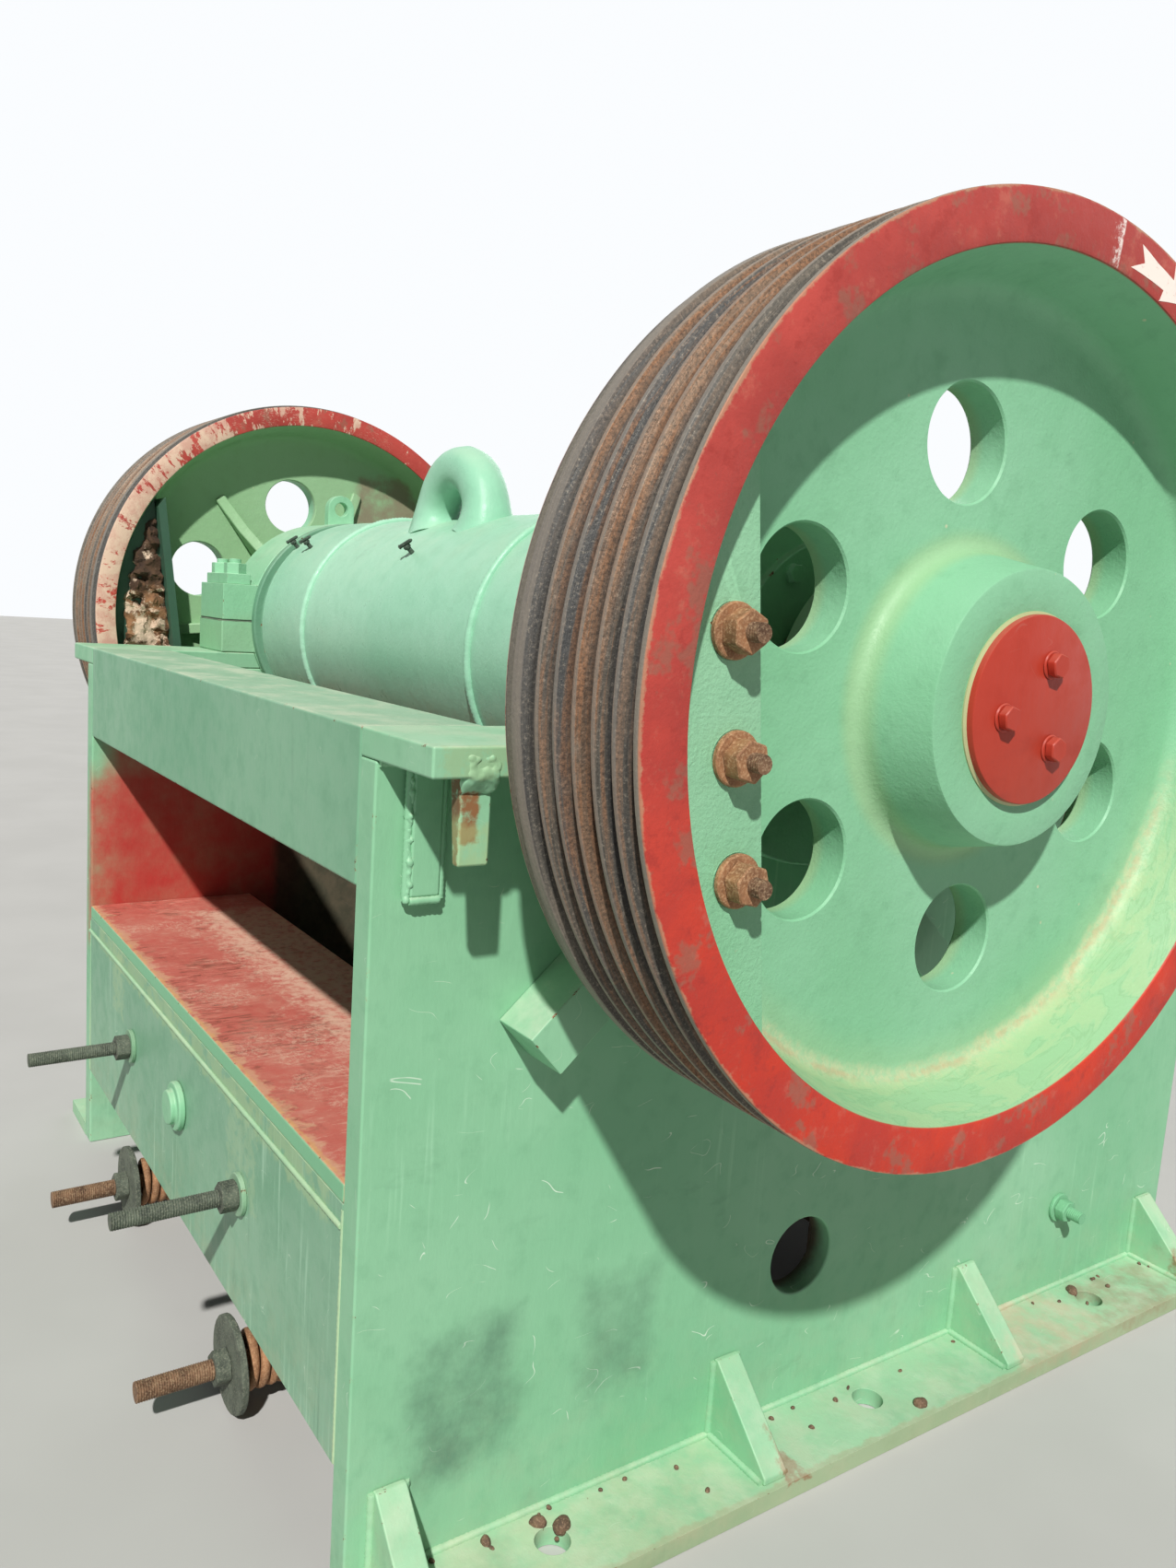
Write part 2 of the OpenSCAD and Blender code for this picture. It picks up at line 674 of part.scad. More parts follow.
// Place of the moving jaw plate's face along Y at a height
function jaw_y(z) = jaw_low_y - (z - jaw_low) * jaw_slope;
plate_set = jaw_plate_t / cos(jaw_angle);
slab_set = plate_set + slab_t / cos(jaw_angle);
module barrel_tube()
    difference() {
        translate([0, barrel_shift, 0]) rod_x(barrel_r, -barrel_len / 2, barrel_len / 2);
        translate([0, barrel_shift, 0])
            rod_x(barrel_r - barrel_wall, 100 - barrel_len / 2, barrel_len / 2 - 100);
    }
seat_half = 90;
module swing_jaw()
    color("mediumseagreen") at_shaft() difference() {
        union() {
            barrel_tube();
            difference() {
                slab_x(-jaw_w / 2, jaw_w / 2)
                    polygon([[jaw_y(jaw_high) - slab_set, jaw_high],
                        [jaw_y(jaw_high) - plate_set, jaw_high],
                        [jaw_y(jaw_low) - plate_set, jaw_low],
                        [jaw_y(jaw_low) - slab_set, jaw_low]]);
                translate([0, barrel_shift, 0])
                    rod_x(barrel_r - barrel_wall / 2, -jaw_w, jaw_w);
                for (s = [-1, 1]) scale([s, 1, 1]) rod_x(seal_r + 8, barrel_len / 2, jaw_w);
            }
        }
        rod_x(shaft_r + running_gap, -barrel_len / 2 - past, barrel_len / 2 + past);
    }

// Five upright ribs behind the jaw's slab, from the barrel down to the toggle seat
jaw_rib_step = barrel_len / 4 - jaw_rib_t / 2;
module jaw_ribs()
    color("mediumseagreen") at_shaft() difference() {
        for (i = [-2:2])
            slab_x(i * jaw_rib_step - jaw_rib_t / 2, i * jaw_rib_step + jaw_rib_t / 2)
                polygon([[-150, -150], [toggle_seat_y, toggle_seat_z + 150],
                    [toggle_seat_y, toggle_seat_z + seat_half + seat_gap],
                    [jaw_y(toggle_seat_z + seat_half) - slab_set - seat_gap,
                        toggle_seat_z + seat_half + seat_gap],
                    [jaw_y(jaw_high) - slab_set - seat_gap, jaw_high]]);
        translate([0, barrel_shift, 0]) rod_x(barrel_r + seat_gap, -jaw_w, jaw_w);
    }

// Bar that the toggle plate bears on, with the lugs that the tension rods pull on
module toggle_seat()
    color("mediumseagreen") at_shaft() {
        slab_x(-jaw_w / 2, jaw_w / 2)
            polygon([[toggle_seat_y, toggle_seat_z - seat_half],
                [jaw_y(toggle_seat_z - seat_half) - slab_set - seat_gap, toggle_seat_z - seat_half],
                [jaw_y(toggle_seat_z + seat_half) - slab_set - seat_gap, toggle_seat_z + seat_half],
                [toggle_seat_y, toggle_seat_z + seat_half]]);
        for (s = [-1, 1])
            block([s * rod_span / 2 - jaw_rib_t / 2, toggle_seat_y, -rod_drop - rod_r - 12],
                [s * rod_span / 2 + jaw_rib_t / 2, toggle_seat_y + 90, toggle_seat_z]);
    }

module moving_jaw_plate()
    color("gray") at_shaft()
        translate([0, jaw_y(jaw_low) - plate_set, jaw_low]) rotate([jaw_angle, 0, 0])
            linear_extrude((jaw_rise - jaw_low) / cos(jaw_angle)) toothed_outline(jaw_w);

// Arched eye on top of the barrel, with a rounded section
module lifting_eye()
    color("mediumseagreen") at_shaft() difference() {
        translate([0, -100, barrel_r - 18]) rotate([90, 0, 0]) rotate_extrude()
            translate([(eye_r + eye_hole_r) / 2, 0]) {
                square([(eye_r - eye_hole_r) * 0.5, eye_t], center = true);
                square([eye_r - eye_hole_r, eye_t * 0.5], center = true);
                for (sx = [-1, 1], sy = [-1, 1])
                    translate([sx * (eye_r - eye_hole_r) / 4, sy * eye_t / 4])
                        circle(min(eye_r - eye_hole_r, eye_t) / 4);
            }
        translate([0, barrel_shift, 0]) rod_x(barrel_r, -eye_r - past, eye_r + past);
    }

side_plate_left();
side_plate_right();
top_flange_left();
top_flange_right();
base_flange_left();
base_flange_right();
base_gussets_left();
base_gussets_right();
flange_brackets_left();
flange_brackets_right();
bearing_braces_left();
bearing_braces_right();
rear_top_beam();
rear_lower_wall();
rear_shelf();
rear_boss();
adjusting_studs();
toggle_block();
toggle_plate();
tension_rods();
front_wall();
front_ribs();
fixed_jaw_plate();
cheek_plate_left();
cheek_plate_right();
bearing_housing_left();
bearing_housing_right();
bearing_cap_left();
bearing_cap_right();
cap_bolts_left();
cap_bolts_right();
seal_ring_left();
seal_ring_right();
side_studs();
shaft();
flywheel_left();
flywheel_right();
balance_weight_left();
balance_weight_right();
balance_pocket_left();
balance_pocket_right();
end_cap_left();
end_cap_right();
swing_jaw();
jaw_ribs();
toggle_seat();
moving_jaw_plate();
lifting_eye();
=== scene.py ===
"""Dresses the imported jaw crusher: worn green and red paint, rusty grooves, threads, springs and welds."""

import json
import logging
import math
from dataclasses import dataclass, field, replace
from enum import Enum
from random import Random
from typing import Iterable, Sequence

import bmesh
import bpy
from mathutils import Matrix, Vector, noise


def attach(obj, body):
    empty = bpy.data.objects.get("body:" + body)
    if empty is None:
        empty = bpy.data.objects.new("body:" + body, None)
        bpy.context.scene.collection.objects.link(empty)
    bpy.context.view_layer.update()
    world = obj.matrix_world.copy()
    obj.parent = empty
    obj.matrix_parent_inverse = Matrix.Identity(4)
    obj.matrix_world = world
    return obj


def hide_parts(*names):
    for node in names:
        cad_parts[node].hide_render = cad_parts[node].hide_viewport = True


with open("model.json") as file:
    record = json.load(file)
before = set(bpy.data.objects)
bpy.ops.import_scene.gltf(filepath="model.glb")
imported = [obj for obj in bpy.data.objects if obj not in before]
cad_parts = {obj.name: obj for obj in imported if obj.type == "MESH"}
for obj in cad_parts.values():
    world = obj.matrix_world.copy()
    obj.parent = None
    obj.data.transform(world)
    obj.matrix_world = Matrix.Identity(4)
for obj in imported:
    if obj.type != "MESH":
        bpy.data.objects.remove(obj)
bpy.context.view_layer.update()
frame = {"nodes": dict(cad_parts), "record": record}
LOG = logging.getLogger("jaw_crusher")

Colour = tuple[float, float, float]
Triple = tuple[float, float, float]
Sock = bpy.types.NodeSocket

# Places are written in millimetres from the middle of the shaft, as the part's source has them.
MIDDLE_Y = 256.5
SHAFT_H = 1345.0
AXLE = Vector((0.0, -MIDDLE_Y / 1000.0, SHAFT_H / 1000.0))


def spot(x: float, y: float, z: float) -> Vector:
    """Turns a place in millimetres from the shaft's middle into metres in the machine's frame."""
    return Vector((x / 1000.0, (y - MIDDLE_Y) / 1000.0, (z + SHAFT_H) / 1000.0))


class Side(Enum):
    """The two sides of the machine, by the sign of X."""

    LEFT = -1
    RIGHT = 1

    @property
    def word(self) -> str:
        """The side's name as the nodes have it."""
        return self.name.lower()


class Body(Enum):
    """The three bodies that pieces ride on."""

    FRAME = "frame"
    ROTOR = "rotor"
    JAW = "swing_jaw"


# ---------------------------------------------------------------- shader graph


class Graph:
    """Builds one material's node tree from small, named steps."""

    def __init__(self, name: str) -> None:
        """Starts an empty material.

        Args:
            name: The material's name.
        """
        self.material = bpy.data.materials.new(name)
        self.material.use_nodes = True
        self.tree = self.material.node_tree
        self.tree.nodes.clear()
        self.coords = self.node("ShaderNodeTexCoord")
        self.place: Sock = self.coords.outputs["Object"]
        split = self.node("ShaderNodeSeparateXYZ", {0: self.place})
        self.x, self.y, self.z = split.outputs
        facing = self.node("ShaderNodeSeparateXYZ", {0: self.coords.outputs["Normal"]})
        self.up: Sock = facing.outputs[2]

    def node(self, kind: str, inputs: dict | None = None, **settings: object) -> bpy.types.Node:
        """Adds a node.

        Args:
            kind: The node's type name.
            inputs: Values or sockets by input name or number.
            settings: Properties of the node.

        Returns:
            The new node.
        """
        made = self.tree.nodes.new(kind)
        for key, value in settings.items():
            setattr(made, key, value)
        for key, value in (inputs or {}).items():
            if isinstance(value, Sock):
                self.tree.links.new(value, made.inputs[key])
            elif isinstance(value, tuple) and len(value) == 3 and made.inputs[key].type == "RGBA":
                made.inputs[key].default_value = (*value, 1.0)
            else:
                made.inputs[key].default_value = value
        return made

    def math(self, what: str, *terms: "float | Sock", clamp: bool = False) -> Sock:
        """Does sums with values or sockets and returns the result's socket."""
        made = self.node("ShaderNodeMath", dict(enumerate(terms)), operation=what)
        made.use_clamp = clamp
        return made.outputs[0]

    def vector(self, what: str, *terms: "Triple | Sock") -> Sock:
        """Does sums with vectors and returns the result's socket."""
        made = self.node("ShaderNodeVectorMath", dict(enumerate(terms)), operation=what)
        return made.outputs["Value" if what in ("LENGTH", "DISTANCE") else "Vector"]

    def combine(self, x: "float | Sock", y: "float | Sock", z: "float | Sock") -> Sock:
        """Joins three values into a vector."""
        return self.node("ShaderNodeCombineXYZ", {0: x, 1: y, 2: z}).outputs[0]

    def window(self, value: Sock, low: "float | Sock", high: "float | Sock") -> Sock:
        """Rises softly from 0 at low to 1 at high, or falls where low is above high."""
        made = self.node(
            "ShaderNodeMapRange", {0: value, 1: low, 2: high}, interpolation_type="SMOOTHSTEP"
        )
        return made.outputs[0]

    def mix(self, share: "float | Sock", first: "Colour | Sock", second: "Colour | Sock",
            way: str = "MIX") -> Sock:
        """Mixes two colours by a share and returns the colour's socket."""
        made = self.node("ShaderNodeMix", {0: share, 6: first, 7: second},
                         data_type="RGBA", blend_type=way)
        return made.outputs[2]

    def blend(self, share: "float | Sock", first: "float | Sock", second: "float | Sock") -> Sock:
        """Mixes two numbers by a share."""
        return self.node("ShaderNodeMix", {0: share, 2: first, 3: second}, data_type="FLOAT").outputs[0]

    def noise(self, size: float, detail: float = 4.0, rough: float = 0.55,
              stretch: Triple = (1.0, 1.0, 1.0), shift: float = 0.0, bend: float = 0.0,
              place: Sock | None = None) -> Sock:
        """Makes cloudy noise.

        Args:
            size: Size of a cloud, in metres.
            detail: Number of finer layers.
            rough: Strength of the finer layers.
            stretch: Length of a cloud along each axis, as a factor.
            shift: Moves the pattern, so that two noises differ.
            bend: Distortion of the pattern.
            place: Coordinates to use in place of the object's own.

        Returns:
            The noise value's socket, from 0 to 1.
        """
        scale = tuple(1.0 / (size * s) for s in stretch)
        moved = self.node("ShaderNodeMapping", {0: place or self.place, 1: (shift, shift * 1.7, -shift),
                                                3: scale})
        made = self.node("ShaderNodeTexNoise", {"Vector": moved.outputs[0], "Scale": 1.0,
                                                "Detail": detail, "Roughness": rough,
                                                "Distortion": bend})
        return made.outputs[0]

    def cells(self, size: float, feature: str = "F1", stretch: Triple = (1.0, 1.0, 1.0),
              shift: float = 0.0) -> Sock:
        """Makes cells of a size in metres, and returns the distance to the nearest cell's middle."""
        scale = tuple(1.0 / (size * s) for s in stretch)
        moved = self.node("ShaderNodeMapping", {0: self.place, 1: (shift, -shift, shift), 3: scale})
        made = self.node("ShaderNodeTexVoronoi", {"Vector": moved.outputs[0], "Scale": 1.0}, feature=feature)
        return made.outputs["Distance"]

    def times(self, *terms: "float | Sock") -> Sock:
        """Multiplies any number of terms."""
        total = terms[0]
        for term in terms[1:]:
            total = self.math("MULTIPLY", total, term)
        return total

    def add(self, *terms: "float | Sock") -> Sock:
        """Adds any number of terms."""
        total = terms[0]
        for term in terms[1:]:
            total = self.math("ADD", total, term)
        return total

    def inside(self, low: Vector, high: Vector, soft: float, ragged: float, grain: float) -> Sock:
        """Marks a box with a soft and ragged edge.

        Args:
            low: The box's lowest corner, in metres.
            high: Its highest corner.
            soft: Width of the soft edge.
            ragged: Amount by which noise moves the edge.
            grain: Size of that noise.

        Returns:
            A socket that is 1 inside the box and 0 outside.
        """
        centre, half = (low + high) / 2, (high - low) / 2
        away = self.vector("ABSOLUTE", self.vector("SUBTRACT", self.place, tuple(centre)))
        beyond = self.node("ShaderNodeSeparateXYZ", {0: self.vector("SUBTRACT", away, tuple(half))})
        most = self.math("MAXIMUM", self.math("MAXIMUM", beyond.outputs[0], beyond.outputs[1]),
                         beyond.outputs[2])
        wave = self.math("MULTIPLY_ADD", self.noise(grain, 5, 0.65, shift=low.x * 7 + high.z * 3),
                         2 * ragged, -ragged)
        return self.window(self.add(most, wave), soft, -soft)

    def surface(self, colour: "Colour | Sock", rough: "float | Sock", height: Sock | None = None,
                bump: float = 0.001, metal: "float | Sock" = 0.0, **plain: float) -> bpy.types.Material:
        """Ends the tree in a surface shader.

        Args:
            colour: The base colour.
            rough: The roughness.
            height: Height for the bump, from 0 to 1.
            bump: Depth of that height, in metres.
            metal: The metallic share.
            plain: Other inputs of the shader that are the same all over.

        Returns:
            The finished material.
        """
        skin = self.node("ShaderNodeBsdfPrincipled", {"Base Color": colour, "Roughness": rough,
                                                      "Metallic": metal})
        for key, value in plain.items():
            skin.inputs[key.replace("_", " ")].default_value = value
        if height is not None:
            lift = self.node("ShaderNodeBump", {"Strength": 1.0, "Distance": bump, "Height": height})
            self.tree.links.new(lift.outputs[0], skin.inputs["Normal"])
        out = self.node("ShaderNodeOutputMaterial", {0: skin.outputs[0]})
        out.is_active_output = True
        return self.material


# ---------------------------------------------------------------- finishes

RUST_DARK: Colour = (0.070, 0.032, 0.016)
RUST_WARM: Colour = (0.235, 0.092, 0.034)
RUST_PALE: Colour = (0.420, 0.235, 0.120)
DUST: Colour = (0.470, 0.430, 0.300)
CREAM: Colour = (0.640, 0.540, 0.380)
GREEN: Colour = (0.190, 0.455, 0.262)
GREEN_FADED: Colour = (0.265, 0.520, 0.330)
GREEN_PALE: Colour = (0.350, 0.610, 0.430)
RED: Colour = (0.470, 0.046, 0.024)
RED_FADED: Colour = (0.520, 0.140, 0.095)


@dataclass(frozen=True)
class Patch:
    """A stained, bare or otherwise painted place on a finish, between two corners in millimetres."""

    low: Triple
    high: Triple
    colour: Colour
    strength: float = 1.0
    soft: float = 0.012
    ragged: float = 0.02
    grain: float = 0.05
    rough: float = 0.8


@dataclass(frozen=True)
class PaintFinish:
    """Brushed machine paint with fading, dust, drips, scratches and rust, and painted shade laid on last where patches
    ask for it.
    """

    name: str
    coat: Colour = GREEN
    faded: Colour = GREEN_FADED
    dust: float = 0.35
    low_dust: float = 0.6
    drips: float = 0.25
    scratches: float = 0.4
    chips: float = 0.25
    rough: float = 0.42
    cast: float = 0.0
    edge_wear: float = 0.0
    strokes: float = 0.0
    top_dust: Colour = (0.580, 0.630, 0.490)
    patches: tuple[Patch, ...] = ()
    # painted shade: dark patches laid on last, where shade falls inside the frame
    grime: tuple[Patch, ...] = ()

    def make(self) -> bpy.types.Material:
        """Builds the material."""
        g = Graph(self.name)
        cloud = g.noise(0.55, 3, 0.5, shift=1.3)
        fine = g.noise(0.045, 4, 0.6, shift=4.1)
        colour = g.mix(g.window(cloud, 0.30, 0.72), self.coat, self.faded)
        darker = tuple(c * 0.74 for c in self.coat)
        colour = g.mix(g.times(g.window(fine, 0.45, 0.80), 0.35), colour, darker)
        if self.drips > 0:
            run = g.noise(0.016, 3, 0.6, (1.0, 1.0, 22.0), 2.7)
            where = g.window(g.noise(0.34, 2, 0.5, shift=7.7), 0.48, 0.70)
            side = g.window(g.math("ABSOLUTE", g.up), 0.5, 0.2)
            pale = g.times(g.window(run, 0.56, 0.74), where, side, self.drips)
            colour = g.mix(pale, colour, tuple(min(1.0, c * 1.25 + 0.10) for c in self.faded))
            dark = g.times(g.window(run, 0.42, 0.28), g.window(cloud, 0.55, 0.75), side, self.drips * 0.8)
            colour = g.mix(dark, colour, tuple(c * 0.55 for c in self.coat))
        rough = g.blend(g.window(fine, 0.3, 0.7), self.rough - 0.06, self.rough + 0.12)
        if self.scratches > 0:
            line = g.noise(0.055, 1, 0.4, (1.0, 1.9, 1.0), 9.3, 0.6)
            thin = g.window(g.math("ABSOLUTE", g.math("SUBTRACT", line, 0.5)), 0.0045, 0.0015)
            rare = g.window(g.noise(0.05, 1, 0.5, shift=5.5), 0.60, 0.66)
            low = g.window(g.z, 1.25, 0.55)
            mark = g.times(thin, rare, g.blend(low, 0.35, 1.0), self.scratches)
            colour = g.mix(mark, colour, (0.66, 0.78, 0.66))
        scuff = g.times(g.window(g.noise(0.21, 5, 0.7, (1.0, 1.6, 0.7), 3.9), 0.60, 0.76), 0.5)
        colour = g.mix(scuff, colour, tuple(c * 0.62 + 0.012 for c in self.coat))
        if self.strokes > 0:
            feather = g.noise(0.017, 6, 0.74, (1.0, 4.0, 1.0), 6.6, 1.4)
            where = g.window(g.noise(0.13, 4, 0.65, (1.6, 1.0, 1.0), 2.4), 0.46, 0.57)
            colour = g.mix(g.times(g.window(feather, 0.50, 0.58), where, self.strokes), colour, (0.240, 0.050, 0.036))
            pale = g.times(g.window(feather, 0.47, 0.37), g.window(cloud, 0.34, 0.54), self.strokes * 0.6)
            colour = g.mix(pale, colour, (0.66, 0.36, 0.28))
            flour = g.times(g.window(g.noise(0.007, 5, 0.8, shift=3.7), 0.46, 0.60),
                            g.window(g.noise(0.17, 4, 0.65, shift=5.9), 0.48, 0.62), self.strokes * 0.55)
            colour = g.mix(flour, colour, (0.70, 0.50, 0.38))
        for patch in self.patches:
            mark = g.inside(spot(*patch.low), spot(*patch.high), patch.soft, patch.ragged, patch.grain)
            colour = g.mix(g.times(mark, patch.strength), colour, patch.colour)
            rough = g.blend(g.times(mark, patch.strength), rough, patch.rough)
        chip_noise = g.noise(0.020, 5, 0.7, shift=8.2)
        high = 0.775 - 0.07 * self.chips - 0.18 * self.edge_wear
        chip = g.window(chip_noise, high, high + 0.022)
        rust = g.mix(g.window(g.noise(0.008, 3, 0.6, shift=2.2), 0.35, 0.65), RUST_DARK, RUST_WARM)
        halo = g.times(g.window(chip_noise, high - 0.05, high + 0.02), 0.30)
        colour = g.mix(halo, colour, RUST_PALE)
        colour = g.mix(chip, colour, rust)
        rough = g.blend(chip, rough, 0.85)
        top = g.window(g.up, 0.25, 0.85)
        loose = g.window(g.noise(0.09, 5, 0.68, shift=6.4), 0.42, 0.66)
        veil = g.times(top, g.blend(loose, 0.35, 1.0), self.dust)
        low = g.times(g.window(g.z, 0.42, 0.02), g.window(g.noise(0.07, 5, 0.7, shift=0.9), 0.40, 0.68),
                      self.low_dust)
        colour = g.mix(g.times(veil, 0.85), colour, self.top_dust)
        colour = g.mix(g.times(low, 0.85), colour, DUST)
        veil = g.math("MAXIMUM", veil, low, clamp=True)
        rough = g.blend(veil, rough, 0.92)
        # painted shade: dark mottled patches over everything else, standing in for the shade inside the frame
        for patch in self.grime:
            mark = g.inside(spot(*patch.low), spot(*patch.high), patch.soft, patch.ragged, patch.grain)
            shade_tone = g.mix(g.window(fine, 0.35, 0.65), patch.colour, tuple(c * 0.55 for c in patch.colour))
            colour = g.mix(g.times(mark, patch.strength), colour, shade_tone)
            rough = g.blend(g.times(mark, patch.strength), rough, patch.rough)
        height = g.add(g.times(g.noise(0.012, 3, 0.5, (1.0, 1.0, 2.5), 3.3), 0.35),
                       g.times(g.noise(0.09, 2, 0.5, shift=2.0), 0.9), g.times(chip, -0.5),
                       g.times(veil, g.noise(0.004, 2, 0.6), 0.5))
        if self.cast > 0:
            grain = g.noise(0.006, 4, 0.65, shift=1.9)
            height = g.add(height, g.times(grain, self.cast))
        return g.surface(colour, rough, height, 0.0016, Specular_IOR_Level=0.3)

    def worn(self) -> "PaintFinish":
        """The same paint on an edge, where more of it has gone."""
        return replace(self, name=self.name + "_edge", edge_wear=0.62, drips=0.0, scratches=0.0,
                       patches=self.patches)


@dataclass(frozen=True)
class RustFinish:
    """Bare rusty steel."""

    name: str
    dark: Colour = RUST_DARK
    warm: Colour = RUST_WARM
    pale: Colour = RUST_PALE
    shine: float = 0.25
    pits: float = 1.0
    paint: float = 0.0

    def make(self) -> bpy.types.Material:
        """Builds the material."""
        g = Graph(self.name)
        cloud = g.noise(0.030, 5, 0.7, shift=3.0)
        grit = g.noise(0.0035, 4, 0.7, shift=1.0)
        colour = g.mix(g.window(cloud, 0.35, 0.62), self.dark, self.warm)
        colour = g.mix(g.times(g.window(grit, 0.45, 0.68), 0.75), colour, self.pale)
        if self.paint > 0:
            left = g.window(g.noise(0.035, 4, 0.7, shift=5.0), 1.0 - self.paint, 1.06 - self.paint)
            colour = g.mix(left, colour, GREEN)
        height = g.add(g.times(grit, self.pits), g.times(cloud, 0.6))
        rough = g.blend(g.window(grit, 0.3, 0.7), 0.62, 0.95)
        return g.surface(colour, rough, height, 0.0012, metal=self.shine)


@dataclass(frozen=True)
class JawSteelFinish:
    """Cast manganese steel whose tooth tips are worn bright."""

    name: str

    def make(self) -> bpy.types.Material:
        """Builds the material."""
        g = Graph(self.name)
        cloud = g.noise(0.11, 5, 0.65, shift=2.0)
        grit = g.noise(0.006, 4, 0.7)
        colour = g.mix(g.window(cloud, 0.35, 0.65), (0.085, 0.070, 0.058), (0.19, 0.145, 0.105))
        dents = g.window(g.cells(0.022), 0.18, 0.42)
        colour = g.mix(g.times(g.window(grit, 0.5, 0.7), 0.5), colour, RUST_WARM)
        colour = g.mix(g.times(g.window(g.up, 0.3, 0.9), 0.55), colour, DUST)
        height = g.add(g.times(grit, 0.6), dents, g.times(cloud, 0.8))
        return g.surface(colour, g.blend(g.window(grit, 0.3, 0.7), 0.5, 0.85), height, 0.0025, metal=0.45)

    def worn(self) -> "JawSteelFinish":
        """The same steel, since a cast plate's edges look like its faces."""
        return self


@dataclass(frozen=True)
class ShaftFinish:
    """Turned steel under a film of oil and rust."""

    name: str

    def make(self) -> bpy.types.Material:
        """Builds the material."""
        g = Graph(self.name)
        turned = g.noise(0.0022, 2, 0.5, (1.0, 60.0, 60.0))
        film = g.window(g.noise(0.06, 5, 0.7), 0.42, 0.62)
        colour = g.mix(film, (0.34, 0.32, 0.29), RUST_WARM)
        rough = g.blend(film, 0.34, 0.8)
        return g.surface(colour, rough, turned, 0.0003, metal=g.blend(film, 0.9, 0.2))


